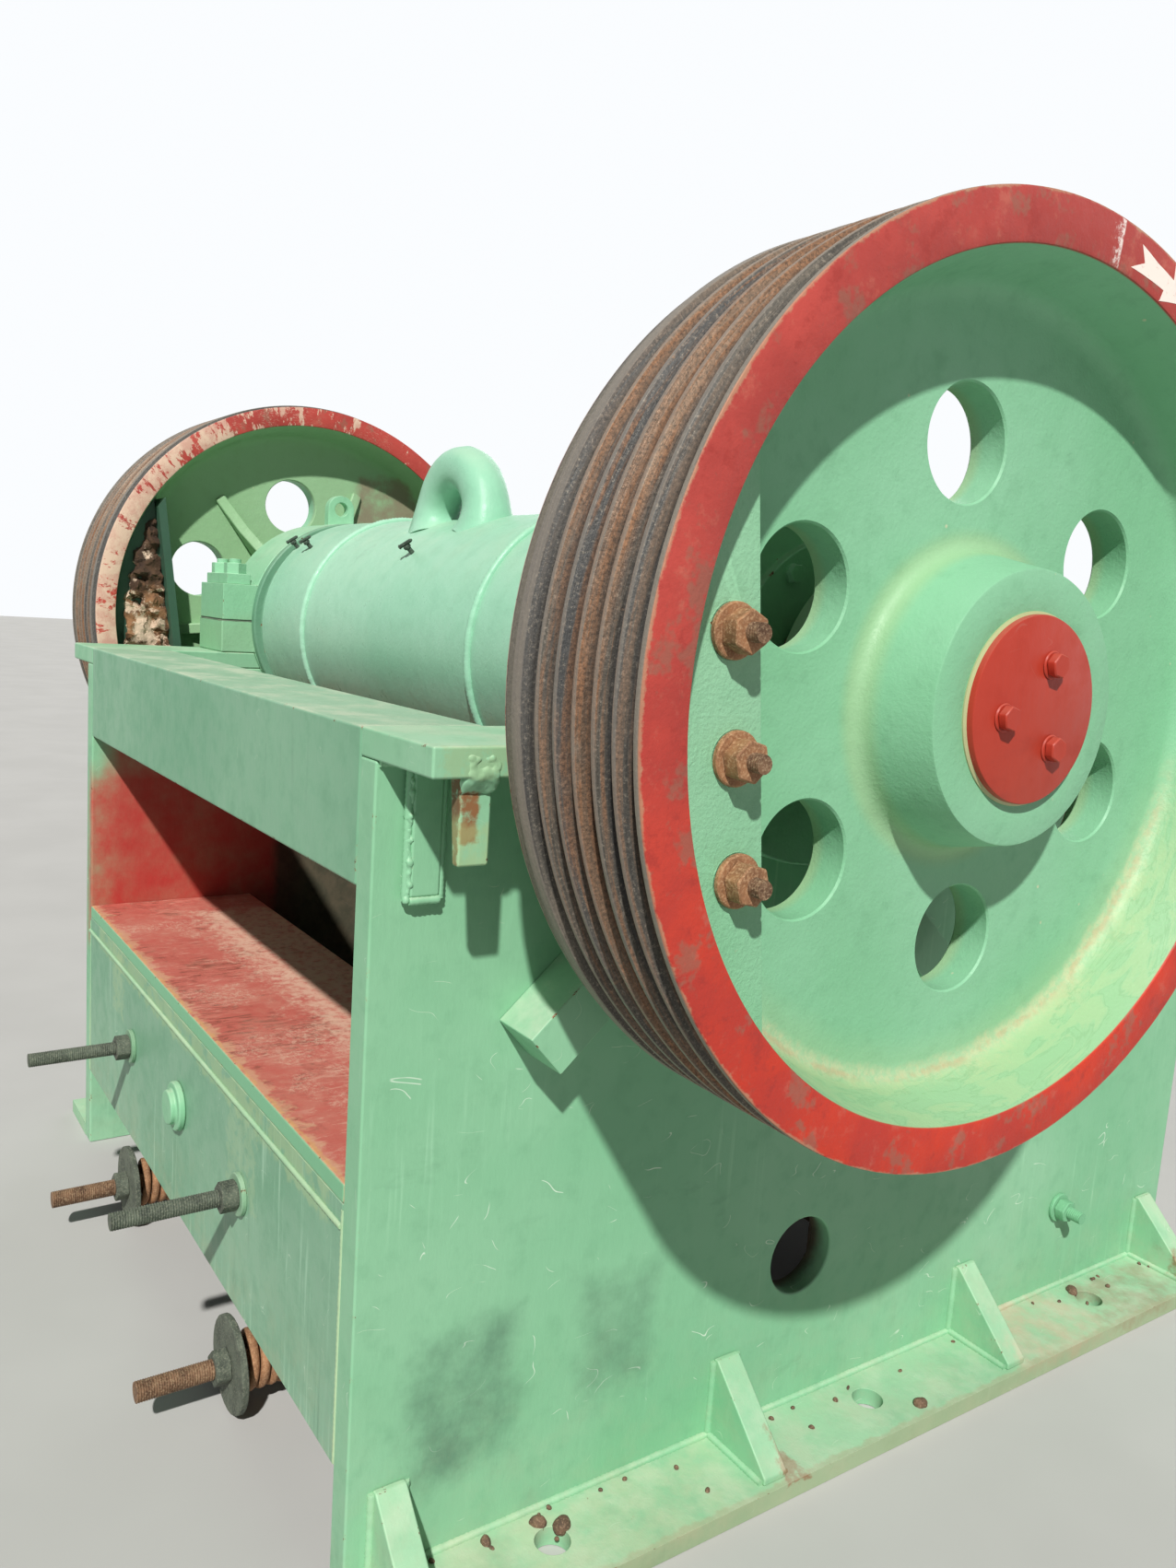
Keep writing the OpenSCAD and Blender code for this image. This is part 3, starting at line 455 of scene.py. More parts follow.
@dataclass(frozen=True)
class FlywheelFinish:
    """A flywheel's finishes by radius: red rim faces, rusty grooves and a green dished web."""

    name: str
    rim_r: float = 0.600
    rim_in: float = 0.539
    web_r: float = 0.512
    face_x: float = 1.338
    back_x: float = 1.067

    def make(self) -> bpy.types.Material:
        """Builds the material."""
        g = Graph(self.name)
        away = g.vector("SUBTRACT", g.place, tuple(AXLE))
        part = g.node("ShaderNodeSeparateXYZ", {0: away})
        flat = g.combine(0.0, part.outputs[1], part.outputs[2])
        r = g.vector("LENGTH", flat)
        across = g.math("ABSOLUTE", g.x)
        angle = g.math("ARCTAN2", part.outputs[2], part.outputs[1])
        drop = g.math("DIVIDE", part.outputs[2], g.math("MAXIMUM", r, 0.01))
        lean = g.math("DIVIDE", part.outputs[1], g.math("MAXIMUM", r, 0.01))
        # green web and hub
        cloud = g.noise(0.42, 3, 0.5, shift=3.1)
        fine = g.noise(0.035, 4, 0.6, shift=2.2)
        green = g.mix(g.window(cloud, 0.32, 0.70), GREEN, (0.235, 0.500, 0.315))
        green = g.mix(g.times(g.window(fine, 0.48, 0.80), 0.35), green, tuple(c * 0.72 for c in GREEN))
        speck = g.window(g.cells(0.055, shift=2.0), 0.055, 0.035)
        green = g.mix(g.times(speck, g.window(fine, 0.45, 0.6), 0.55), green, CREAM)
        # cream and rust along the corner of web and rim, in the lower half
        wander = g.times(g.math("SUBTRACT", g.noise(0.10, 5, 0.7, shift=1.1), 0.5), 0.035)
        lower = g.window(drop, -0.05, -0.55)
        wet = g.add(r, wander)
        band = g.times(g.window(wet, 0.488, 0.505), g.window(wet, 0.527, 0.515), lower,
                       g.window(across, 1.19, 1.225))
        grit = g.noise(0.012, 5, 0.75, shift=4.4)
        green = g.mix(g.times(band, g.blend(g.window(grit, 0.40, 0.60), 0.25, 0.70)), green, (0.52, 0.50, 0.31))
        seam = g.times(g.window(wet, 0.503, 0.509), g.window(wet, 0.517, 0.511), lower,
                       g.window(g.noise(0.05, 4, 0.7, shift=6.0), 0.40, 0.58),
                       g.window(across, 1.19, 1.225))
        green = g.mix(g.times(seam, 0.55), green, (0.43, 0.27, 0.16))
        around = g.combine(g.times(g.x, 1.0), g.times(lean, 0.15), g.times(drop, 0.15))
        run = g.noise(0.040, 4, 0.6, (1.0, 1.0, 1.0), 4.4, 1.0, around)
        bowl = g.times(g.window(r, 0.509, 0.518), g.window(r, self.rim_in + 0.004, self.rim_in - 0.002), lower)
        green = g.mix(g.times(bowl, 0.45), green, (0.27, 0.47, 0.25))
        green = g.mix(g.times(bowl, g.window(run, 0.48, 0.54), 0.40), green, (0.36, 0.50, 0.27))
        wave = g.math("ABSOLUTE", g.math("SUBTRACT", run, 0.47))
        green = g.mix(g.times(bowl, g.window(wave, 0.022, 0.004), 0.38), green, (0.15, 0.34, 0.17))
        foot = g.times(g.window(r, 0.228, 0.205), g.window(across, 1.270, 1.245), g.window(across, 1.20, 1.225))
        green = g.mix(g.times(foot, 0.45), green, (0.33, 0.46, 0.23))
        # red faces of the rim, peeled on the inner side
        blot = g.noise(0.16, 4, 0.6, shift=5.1)
        red = g.mix(g.window(blot, 0.38, 0.62), (0.54, 0.040, 0.018), (0.43, 0.036, 0.024))
        high = g.window(drop, -0.75, 0.35)
        red = g.mix(high, red, g.mix(g.window(blot, 0.38, 0.62), (0.45, 0.062, 0.050), (0.36, 0.048, 0.040)))
        rub = g.noise(0.050, 6, 0.75, (1.0, 1.0, 1.0), 7.4)
        red = g.mix(g.times(g.window(rub, 0.55, 0.70), 0.50), red, (0.50, 0.15, 0.105))
        red = g.mix(g.times(g.window(rub, 0.46, 0.34), 0.55), red, (0.30, 0.030, 0.024))
        spots = g.window(g.add(g.noise(0.075, 4, 0.7, shift=5.3), g.times(rub, 0.25)), 0.670, 0.755)
        red = g.mix(g.times(spots, 0.60), red, (0.25, 0.115, 0.080))
        soot = g.noise(0.012, 5, 0.75, shift=1.6)
        red = g.mix(g.times(g.window(soot, 0.58, 0.68), g.window(rub, 0.42, 0.56), 0.40), red, (0.25, 0.075, 0.055))
        inner = g.window(across, 1.20, 1.19)
        sweep = g.combine(r, g.times(lean, 0.6), g.times(drop, 0.6))
        peel = g.noise(0.034, 6, 0.76, (2.2, 1.0, 1.0), 2.9, 0.2, sweep)
        peel = g.window(g.add(peel, g.times(lean, -0.125)), 0.545, 0.575)
        bare_tone = g.mix(g.window(g.noise(0.05, 5, 0.7, shift=7.1), 0.40, 0.60), (0.66, 0.475, 0.365), (0.57, 0.33, 0.26))
        red = g.mix(g.times(peel, inner), red, bare_tone)
        rays = g.noise(0.010, 3, 0.6, (0.12, 1.0, 1.0), 3.8, 0.3,
                       g.combine(r, g.times(lean, 0.6), g.times(drop, 0.6)))
        rays = g.times(g.window(rays, 0.57, 0.64), g.window(lean, 0.75, -0.2),
                       g.window(g.noise(0.12, 3, 0.6, shift=8.8), 0.42, 0.56))
        red = g.mix(g.times(rays, inner, 0.75), red, (0.64, 0.46, 0.36))
        lip = g.window(g.add(r, g.times(g.math("SUBTRACT", rub, 0.5), 0.020)), 0.5960, 0.5990)
        red = g.mix(g.times(lip, 0.60), red, (0.40, 0.27, 0.165))
        # brown primer beside one rib of the machine's side, and a yellower web there
        green = g.mix(g.times(g.window(across, 1.20, 1.18), 0.50), green, (0.32, 0.43, 0.22))
        primer = g.inside(spot(-1200, 167, 294), spot(-1160, 370, 430), 0.02, 0.05, 0.07)
        green = g.mix(g.times(primer, 0.8), green, (0.235, 0.165, 0.120))
        moss = g.times(g.window(wet, 0.44, 0.50), lower, g.window(across, 1.19, 1.225))
        green = g.mix(g.times(moss, 0.22), green, (0.40, 0.50, 0.27))
        # the marking bar beside the arrow
        turn = g.times(g.math("SUBTRACT", angle, 1.4470), -1.0)
        spray = g.times(g.window(turn, -0.050, -0.004), g.window(turn, 0.004, 0.001),
                        g.window(g.add(g.noise(0.008, 4, 0.8), g.times(turn, 5.0)), 0.36, 0.54),
                        g.window(g.x, 1.3370, 1.3376))
        red = g.mix(g.times(spray, 0.9), red, (0.80, 0.70, 0.66))
        # grooves
        ring = g.combine(g.times(g.x, 1.0), g.times(lean, 0.010), g.add(g.times(drop, 0.010), g.times(r, 0.3)))
        lane = g.noise(0.0055, 5, 0.75, (1.0, 1.0, 1.0), 1.7, 0.0, ring)
        belt = g.noise(0.021, 1, 0.4, (1.0, 1.0, 1.0), 6.1, 0.0, ring)
        wide = g.noise(0.075, 3, 0.55, (1.0, 0.9, 1.0), 3.7, 0.0, ring)
        sand = g.noise(0.0040, 5, 0.8, shift=2.6)
        iron = g.mix(g.window(lane, 0.36, 0.62), (0.062, 0.057, 0.049), (0.175, 0.158, 0.130))
        iron = g.mix(g.times(g.window(belt, 0.50, 0.60), 0.60), iron, (0.215, 0.190, 0.145))
        iron = g.mix(g.times(g.window(belt, 0.46, 0.36), 0.60), iron, (0.060, 0.066, 0.072))
        iron = g.mix(g.times(g.window(sand, 0.52, 0.66), 0.65), iron, (0.300, 0.265, 0.215))
        iron = g.mix(g.times(g.window(sand, 0.46, 0.34), 0.60), iron, (0.035, 0.031, 0.027))
        wear = g.add(across, g.times(g.math("SUBTRACT", wide, 0.5), 0.22))
        middle = g.times(g.window(wear, 1.110, 1.165), g.window(wear, 1.292, 1.250))
        warm = g.times(middle, g.add(g.times(g.window(lane, 0.45, 0.58), 0.8), g.times(g.window(belt, 0.46, 0.56), 0.6)))
        warm = g.times(warm, g.window(g.noise(0.16, 4, 0.7, shift=3.0), 0.22, 0.46))
        iron = g.mix(g.times(g.math("MINIMUM", warm, 1.0), 0.75), iron, g.mix(g.window(sand, 0.36, 0.62), (0.095, 0.045, 0.023), (0.320, 0.145, 0.065)))
        iron = g.mix(g.times(g.window(g.noise(0.02, 5, 0.75, shift=9.0), 0.62, 0.74), middle, 0.5), iron, RUST_PALE)
        # painted highlight: a lighter line along the tops of the groove crests
        crest_highlight = g.window(r, 0.5985, 0.5998)
        iron = g.mix(g.times(crest_highlight, 0.50), iron, (0.30, 0.265, 0.225))
        # painted shade: the grooves darken to near-black towards their bottoms
        iron = g.mix(g.window(r, 0.5960, 0.5790), iron, g.mix(0.72, iron, (0.012, 0.010, 0.009)))
        tread = g.times(g.window(r, 0.5540, 0.5560), g.window(across, self.face_x - 0.0010, self.face_x - 0.0032),
                        g.window(across, self.back_x + 0.0010, self.back_x + 0.0032))
        outer_face = g.window(across, self.face_x - 0.004, self.face_x - 0.002)
        inner_face = g.window(across, self.back_x + 0.004, self.back_x + 0.002)
        face = g.times(g.math("MAXIMUM", outer_face, inner_face), g.window(r, self.rim_in - 0.006, self.rim_in - 0.002))
        colour = g.mix(tread, green, iron)
        colour = g.mix(face, colour, red)
        bare = g.times(tread, 1.0)
        rough = g.blend(bare, g.blend(g.window(fine, 0.3, 0.7), 0.40, 0.54), g.blend(g.window(lane, 0.3, 0.7), 0.45, 0.8))
        grain = g.noise(0.005, 4, 0.65, shift=1.9)
        height = g.add(g.times(grain, 0.45), g.times(g.noise(0.05, 3, 0.55), 1.0), g.times(bare, lane, 0.8))
        return g.surface(colour, rough, height, 0.0016, metal=g.times(bare, 0.35), Specular_IOR_Level=0.3)


@dataclass(frozen=True)
class ScrapFinish:
    """Rusty lumps and cream slag that fill the balance pockets."""

    name: str

    def make(self) -> bpy.types.Material:
        """Builds the material."""
        g = Graph(self.name)
        cloud = g.noise(0.05, 5, 0.7, shift=2.0)
        colour = g.mix(g.window(cloud, 0.38, 0.6), (0.075, 0.034, 0.016), (0.30, 0.150, 0.070))
        # painted shadow: the mass turns near-black towards the top of the pocket, where the rim's shadow falls
        colour = g.mix(g.times(g.window(g.z, 1.35, 1.47), 0.80), colour, (0.030, 0.016, 0.010))
        slag = g.add(g.noise(0.060, 6, 0.75, shift=6.0), g.times(g.window(g.z, 1.43, 1.31), 0.12))
        colour = g.mix(g.window(slag, 0.57, 0.63), colour, (0.62, 0.47, 0.35))
        height = g.add(g.noise(0.006, 5, 0.75), g.times(cloud, 1.6))
        return g.surface(colour, 0.9, height, 0.004)


@dataclass(frozen=True)
class ChalkFinish:
    """Thin white marking paint."""

    name: str

    def make(self) -> bpy.types.Material:
        """Builds the material."""
        g = Graph(self.name)
        thin = g.window(g.noise(0.012, 5, 0.75), 0.58, 0.70)
        colour = g.mix(g.times(thin, 0.7), (0.86, 0.78, 0.72), (0.62, 0.33, 0.28))
        return g.surface(colour, 0.75, g.noise(0.004, 4, 0.6), 0.0004)


class Shop:
    """Keeps each finish's material, so that it is made once."""

    def __init__(self) -> None:
        """Starts with nothing made."""
        self._made: dict[str, bpy.types.Material] = {}

    def get(self, finish: "PaintFinish | RustFinish | JawSteelFinish | ShaftFinish | FlywheelFinish | ScrapFinish | ChalkFinish") -> bpy.types.Material:
        """Returns the finish's material, made on the first call."""
        if finish.name not in self._made:
            self._made[finish.name] = finish.make()
        return self._made[finish.name]


SHOP = Shop()

RUSTY = RustFinish("rusty_steel", dark=(0.220, 0.105, 0.050), warm=(0.350, 0.170, 0.080), pale=(0.560, 0.360, 0.210),
                   pits=0.6)
THREAD_RUST = RustFinish("rusty_thread", warm=(0.20, 0.11, 0.06), pale=(0.42, 0.30, 0.19), shine=0.35)
PAINTED_NUT = RustFinish("painted_nut", paint=0.72)
DARK_PLUG = RustFinish("dark_plug", dark=(0.020, 0.030, 0.022), warm=(0.045, 0.065, 0.048), pale=(0.13, 0.20, 0.145),
                       shine=0.1)
EARTH = RustFinish("dry_earth", dark=(0.060, 0.035, 0.022), warm=(0.150, 0.085, 0.050), pale=(0.300, 0.200, 0.130),
                   shine=0.0, pits=1.5)
OLD_THREAD = RustFinish("old_thread", dark=(0.040, 0.050, 0.038), warm=(0.100, 0.120, 0.090),
                        pale=(0.230, 0.245, 0.185), shine=0.2)

BASE_SPECKS: tuple[Patch, ...] = (
    Patch((870, 700, -1318), (1020, 960, -1290), (0.52, 0.36, 0.26), 0.70, 0.03, 0.07, 0.06),
    Patch((890, 1000, -1318), (1020, 1250, -1290), (0.25, 0.13, 0.08), 0.60, 0.03, 0.08, 0.05),
    Patch((880, -560, -1318), (1030, -20, -1290), (0.50, 0.55, 0.36), 0.45, 0.03, 0.07, 0.06),
    Patch((1006, -660, -1350), (1030, 1400, -1305), (0.33, 0.30, 0.18), 0.55, 0.004, 0.016, 0.03),
    Patch((955, 60, -1318), (1030, 104, -1225), (0.25, 0.12, 0.06), 0.85, 0.006, 0.025, 0.02),
    Patch((960, 1280, -1315), (1020, 1330, -1160), RUST_WARM, 0.75, 0.01, 0.03, 0.02),
)
FRAME_PATCHES: tuple[Patch, ...] = (
    Patch((994, -605, -205), (1002, -582, -140), RUST_WARM, 0.95, 0.004, 0.012, 0.018),
    # Rust on the bracket leg's -Y face, darkened further as painted shade under the flange.
    Patch((960, -612, -240), (1001, -606.2, -120), (0.150, 0.085, 0.040), 0.95, 0.0005, 0.003, 0.012),
    Patch((1010, -640, -122), (1020, -500, -66), (0.30, 0.42, 0.22), 0.50, 0.004, 0.020, 0.018),
    Patch((950, -612, -240), (1004, -560, -180), (0.38, 0.46, 0.21), 0.45, 0.01, 0.03, 0.03),
    Patch((850, -538, -1173), (862, -409, -978), (0.085, 0.180, 0.120), 0.85, 0.06, 0.09, 0.11),
    Patch((850, -244, -1140), (862, -141, -973), (0.095, 0.200, 0.130), 0.75, 0.05, 0.07, 0.09),
)
INNER_RED: tuple[Patch, ...] = (
    Patch((-820, -740, -800), (-790, -150, -395), (0.450, 0.032, 0.030), 1.0, 0.05, 0.05, 0.10, 0.6),
    Patch((-820, -600, -800), (-790, -150, -250), (0.400, 0.026, 0.024), 1.0, 0.05, 0.04, 0.12, 0.6),
)
# Painted shade: dark brown over the inner faces of both side plates, deep inside the frame.
PLATE_INNER_SHADE: tuple[Patch, ...] = (
    Patch((-830, -190, -1400), (-780, 1085, 80), (0.085, 0.052, 0.034), 0.94, 0.02, 0.02, 0.08),
    Patch((780, -190, -1400), (830, 1085, 80), (0.085, 0.052, 0.034), 0.94, 0.02, 0.02, 0.08),
)
SHELF_EDGE: tuple[Patch, ...] = (
    Patch((-810, -654, -760), (810, -640, -700), (0.600, 0.370, 0.220), 0.60, 0.010, 0.050, 0.030),
    Patch((-810, -652, -760), (810, -648, -700), (0.600, 0.330, 0.130), 0.75, 0.003, 0.012, 0.02),
    Patch((-640, -430, -760), (810, -240, -700), (0.660, 0.440, 0.330), 0.75, 0.05, 0.16, 0.016),
    Patch((-810, -670, -760), (810, -653.4, -700), GREEN, 1.0, 0.0012, 0.0012, 0.01, 0.5),
)

FRAME_PAINT = PaintFinish("frame_green", patches=FRAME_PATCHES, dust=0.55)
PLATE_PAINT = PaintFinish("plate_green", patches=FRAME_PATCHES[4:] + INNER_RED, scratches=0.8, dust=0.2,
                          low_dust=0.12, grime=PLATE_INNER_SHADE)
BASE_PAINT = PaintFinish("base_green", faded=(0.32, 0.57, 0.36), dust=0.45, low_dust=0.22, chips=0.55,
                         patches=BASE_SPECKS)
BEARING_PAINT = PaintFinish("bearing_green", coat=(0.225, 0.520, 0.310), faded=(0.300, 0.580, 0.380), cast=0.5, drips=0.1, scratches=0.0, dust=0.3,
                            patches=(Patch((-1100, -400, -90), (1100, 400, 4), (0.22, 0.36, 0.17), 0.30,
                                           0.03, 0.03, 0.07),
                                     Patch((-1100, -400, -3), (1100, 400, 3), (0.03, 0.05, 0.03), 0.9,
                                           0.0008, 0.0010, 0.01)))
# Painted shade: dark brown over the swing jaw below the barrel, inside the frame.
JAW_INNER_SHADE: tuple[Patch, ...] = (
    Patch((-800, -500, -1400), (800, 950, -250), (0.085, 0.052, 0.034), 0.94, 0.03, 0.05, 0.08),)
BARREL_PAINT = PaintFinish("barrel_green", coat=(0.270, 0.560, 0.390), faded=(0.350, 0.630, 0.465), cast=0.35,
                           drips=0.0, scratches=0.1, dust=0.25, chips=0.1, rough=0.32, grime=JAW_INNER_SHADE)
# Painted shade: a darker green coat for the seal rings, standing in for the shaded gap between cap and barrel.
SEAL_SHADE_PAINT = PaintFinish("seal_green", coat=(0.105, 0.260, 0.165), faded=(0.155, 0.330, 0.215), cast=0.4,
                         drips=0.0, scratches=0.0, dust=0.3, chips=0.3)
SHELF_PAINT = PaintFinish("shelf_red", coat=(0.470, 0.082, 0.066), faded=(0.540, 0.135, 0.110), dust=0.30,
                          drips=0.0, chips=0.3, scratches=0.2, strokes=0.95, top_dust=(0.600, 0.380, 0.270),
                          patches=SHELF_EDGE)
CAP_PAINT = PaintFinish("cap_red", coat=(0.38, 0.034, 0.019), faded=(0.42, 0.055, 0.032), dust=0.1, drips=0.0,
                        chips=0.05, scratches=0.1, low_dust=0.0, rough=0.38)
CAP_EDGE = PaintFinish("cap_edge_cream", coat=(0.36, 0.40, 0.20), faded=(0.46, 0.44, 0.25), dust=0.0, drips=0.0,
                       chips=1.0, scratches=0.0, low_dust=0.0)
WEIGHT_PAINT = PaintFinish("weight_green", cast=0.9, drips=0.0, chips=0.35, scratches=0.0, low_dust=0.0)
BEAD_PAINT = PaintFinish("bead_pale", coat=(0.260, 0.480, 0.290), faded=(0.420, 0.560, 0.340), dust=0.4,
                         scratches=0.0, drips=0.0)
# Painted shade: a near-black green coat for the pocket walls, which stand in the rim's shadow.
POCKET_WALL_SHADE_PAINT = PaintFinish("pocket_green", coat=(0.032, 0.080, 0.052), faded=(0.050, 0.115, 0.075), dust=0.1,
                           drips=0.0, scratches=0.0, low_dust=0.0)
WALL_DRIPS: tuple[Patch, ...] = (
    Patch((-700, -670, -800), (760, -650, -745), (0.42, 0.52, 0.28), 0.40, 0.006, 0.035, 0.030),
    Patch((300, -670, -935), (440, -650, -780), (0.50, 0.60, 0.36), 0.22, 0.010, 0.070, 0.022),
    Patch((-560, -670, -900), (-470, -650, -760), (0.52, 0.60, 0.34), 0.25, 0.008, 0.050, 0.018),
)
WALL_PAINT = PaintFinish("wall_green", coat=(0.165, 0.360, 0.228), faded=(0.235, 0.430, 0.290), drips=0.9,
                         patches=WALL_DRIPS)
BEAM_PAINT = PaintFinish("beam_green", coat=(0.150, 0.355, 0.215), faded=(0.200, 0.405, 0.260), dust=0.8,
                         patches=FRAME_PATCHES[3:4])
NUT_GREEN = PaintFinish("nut_green", coat=(0.150, 0.300, 0.175), faded=(0.235, 0.400, 0.260), cast=0.6, chips=1.4,
                        drips=0.0, scratches=0.0, dust=0.2)
# Painted shade: a dark brown coat for the toggle parts and jaw ribs, which sit in shade inside the frame.
SHADED_PARTS_PAINT = PaintFinish("inner_brown", coat=(0.082, 0.054, 0.036), faded=(0.115, 0.078, 0.052), dust=0.6,
                           low_dust=0.5, drips=0.2, chips=0.5, top_dust=(0.300, 0.235, 0.160))

SLOT_OF: dict[str, str] = {part["node"]: part["material_slot"] for part in frame["record"]["subparts"]}


# ---------------------------------------------------------------- pieces


def dress(piece: bpy.types.Object, body: Body, slot: str, *nodes: str) -> bpy.types.Object:
    """Says what a new piece rides on and which nodes it stands for.

    Args:
        piece: The finished piece.
        body: The body that it rides on.
        slot: The record's material slot; not used.
        nodes: The CAD nodes that it replaces.

    Returns:
        The piece.
    """
    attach(piece, body.value)
    if nodes:
        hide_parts(*nodes)
    triangles = sum(len(p.vertices) - 2 for p in piece.data.polygons)
    LOG.info("%s: %d triangles on %s", piece.name, triangles, body.value)
    return piece


def plain_mesh(piece: bpy.types.Object) -> bpy.types.Object:
    """Bakes a piece's modifiers into its mesh and removes them."""
    graph = bpy.context.evaluated_depsgraph_get()
    baked = bpy.data.meshes.new_from_object(piece.evaluated_get(graph), preserve_all_data_layers=True,
                                            depsgraph=graph)
    piece.modifiers.clear()
    old = piece.data
    piece.data = baked
    baked.name = piece.name
    if old.users == 0:
        bpy.data.meshes.remove(old)
    return piece


def smooth(mesh: bpy.types.Mesh, angle: float = 35.0) -> None:
    """Shades a mesh smooth up to an angle in degrees."""
    mesh.polygons.foreach_set("use_smooth", [True] * len(mesh.polygons))
    mesh.set_sharp_from_angle(angle=math.radians(angle))


def new_piece(name: str, mesh: bpy.types.Mesh, *materials: bpy.types.Material) -> bpy.types.Object:
    """Puts a mesh with its materials into the scene."""
    piece = bpy.data.objects.new(name, mesh)
    bpy.context.scene.collection.objects.link(piece)
    if mesh.materials:
        mesh.materials.clear()
    for material in materials:
        mesh.materials.append(material)
    return piece


def softened(node: str, finish: PaintFinish, body: Body, width: float = 3.0,
             name: str | None = None) -> bpy.types.Object:
    """Makes a copy of a node with rounded and slightly worn edges, which replaces the node.

    Args:
        node: The CAD node.
        finish: Its paint; the rounded edges get the worn form of it.
        body: The body that it rides on.
        width: Width of the rounding, in millimetres.
        name: The new piece's name, or the node's with a suffix.

    Returns:
        The new piece.
    """
    mesh = frame["nodes"][node].data.copy()
    work = bmesh.new()
    work.from_mesh(mesh)
    bmesh.ops.remove_doubles(work, verts=work.verts, dist=2e-5)
    bmesh.ops.dissolve_limit(work, angle_limit=math.radians(0.6), verts=work.verts, edges=work.edges)
    work.to_mesh(mesh)
    work.free()
    smooth(mesh, 30.0)
    piece = new_piece(name or f"{node}_plate", mesh, SHOP.get(finish), SHOP.get(finish.worn()))
    bevel = piece.modifiers.new("round", "BEVEL")
    bevel.width = width / 1000.0
    bevel.segments = 2
    bevel.limit_method = "ANGLE"
    bevel.angle_limit = math.radians(32)
    bevel.harden_normals = True
    bevel.use_clamp_overlap = True
    bevel.material = 1
    plain_mesh(piece)
    return dress(piece, body, SLOT_OF[node], node)


def revolved(name: str, outline: Sequence[tuple[float, float]], steps: int,
             *materials: bpy.types.Material) -> bpy.types.Object:
    """Turns a closed outline about the shaft.

    Args:
        name: The piece's name.
        outline: Points as radius and place along X, in millimetres; a radius of 0 lies on the axis.
        steps: Number of steps round.
        materials: The piece's materials.

    Returns:
        The piece, closed and with its faces outwards.
    """
    work = bmesh.new()
    rings: list[list[bmesh.types.BMVert]] = []
    for radius, along in outline:
        if radius < 1e-6:
            rings.append([work.verts.new(AXLE + Vector((along / 1000.0, 0, 0)))] * steps)
            continue
        ring = []
        for k in range(steps):
            turn = 2 * math.pi * k / steps
            ring.append(work.verts.new(AXLE + Vector((along, radius * math.cos(turn), radius * math.sin(turn))) / 1000.0))
        rings.append(ring)
    for i, ring in enumerate(rings):
        other = rings[(i + 1) % len(rings)]
        for k in range(steps):
            corners = [ring[k], other[k], other[(k + 1) % steps], ring[(k + 1) % steps]]
            corners = list(dict.fromkeys(corners))
            if len(corners) > 2:
                work.faces.new(corners)
    bmesh.ops.recalc_face_normals(work, faces=work.faces)
    mesh = bpy.data.meshes.new(name)
    work.to_mesh(mesh)
    work.free()
    smooth(mesh)
    return new_piece(name, mesh, *materials)


def points_mesh(name: str, places: Iterable[Vector], joined: bool = False) -> bpy.types.Mesh:
    """Makes a mesh of loose points, or of one line through them."""
    spots = [tuple(p) for p in places]
    mesh = bpy.data.meshes.new(name)
    mesh.from_pydata(spots, [(i, i + 1) for i in range(len(spots) - 1)] if joined else [], [])
    return mesh


def joined(name: str, pieces: Sequence[bpy.types.Object]) -> bpy.types.Object:
    """Joins pieces into one, with their materials kept."""
    work = bmesh.new()
    materials: list[bpy.types.Material] = []
    for piece in pieces:
        slots = []
        for material in piece.data.materials:
            if material not in materials:
                materials.append(material)
            slots.append(materials.index(material))
        start = len(work.faces)
        work.from_mesh(piece.data)
        work.faces.ensure_lookup_table()
        for face in work.faces[start:]:
            face.material_index = slots[min(face.material_index, len(slots) - 1)] if slots else 0
    mesh = bpy.data.meshes.new(name)
    work.to_mesh(mesh)
    work.free()
    for piece in pieces:
        bpy.data.objects.remove(piece)
    return new_piece(name, mesh, *materials)


# ---------------------------------------------------------------- repeated shapes


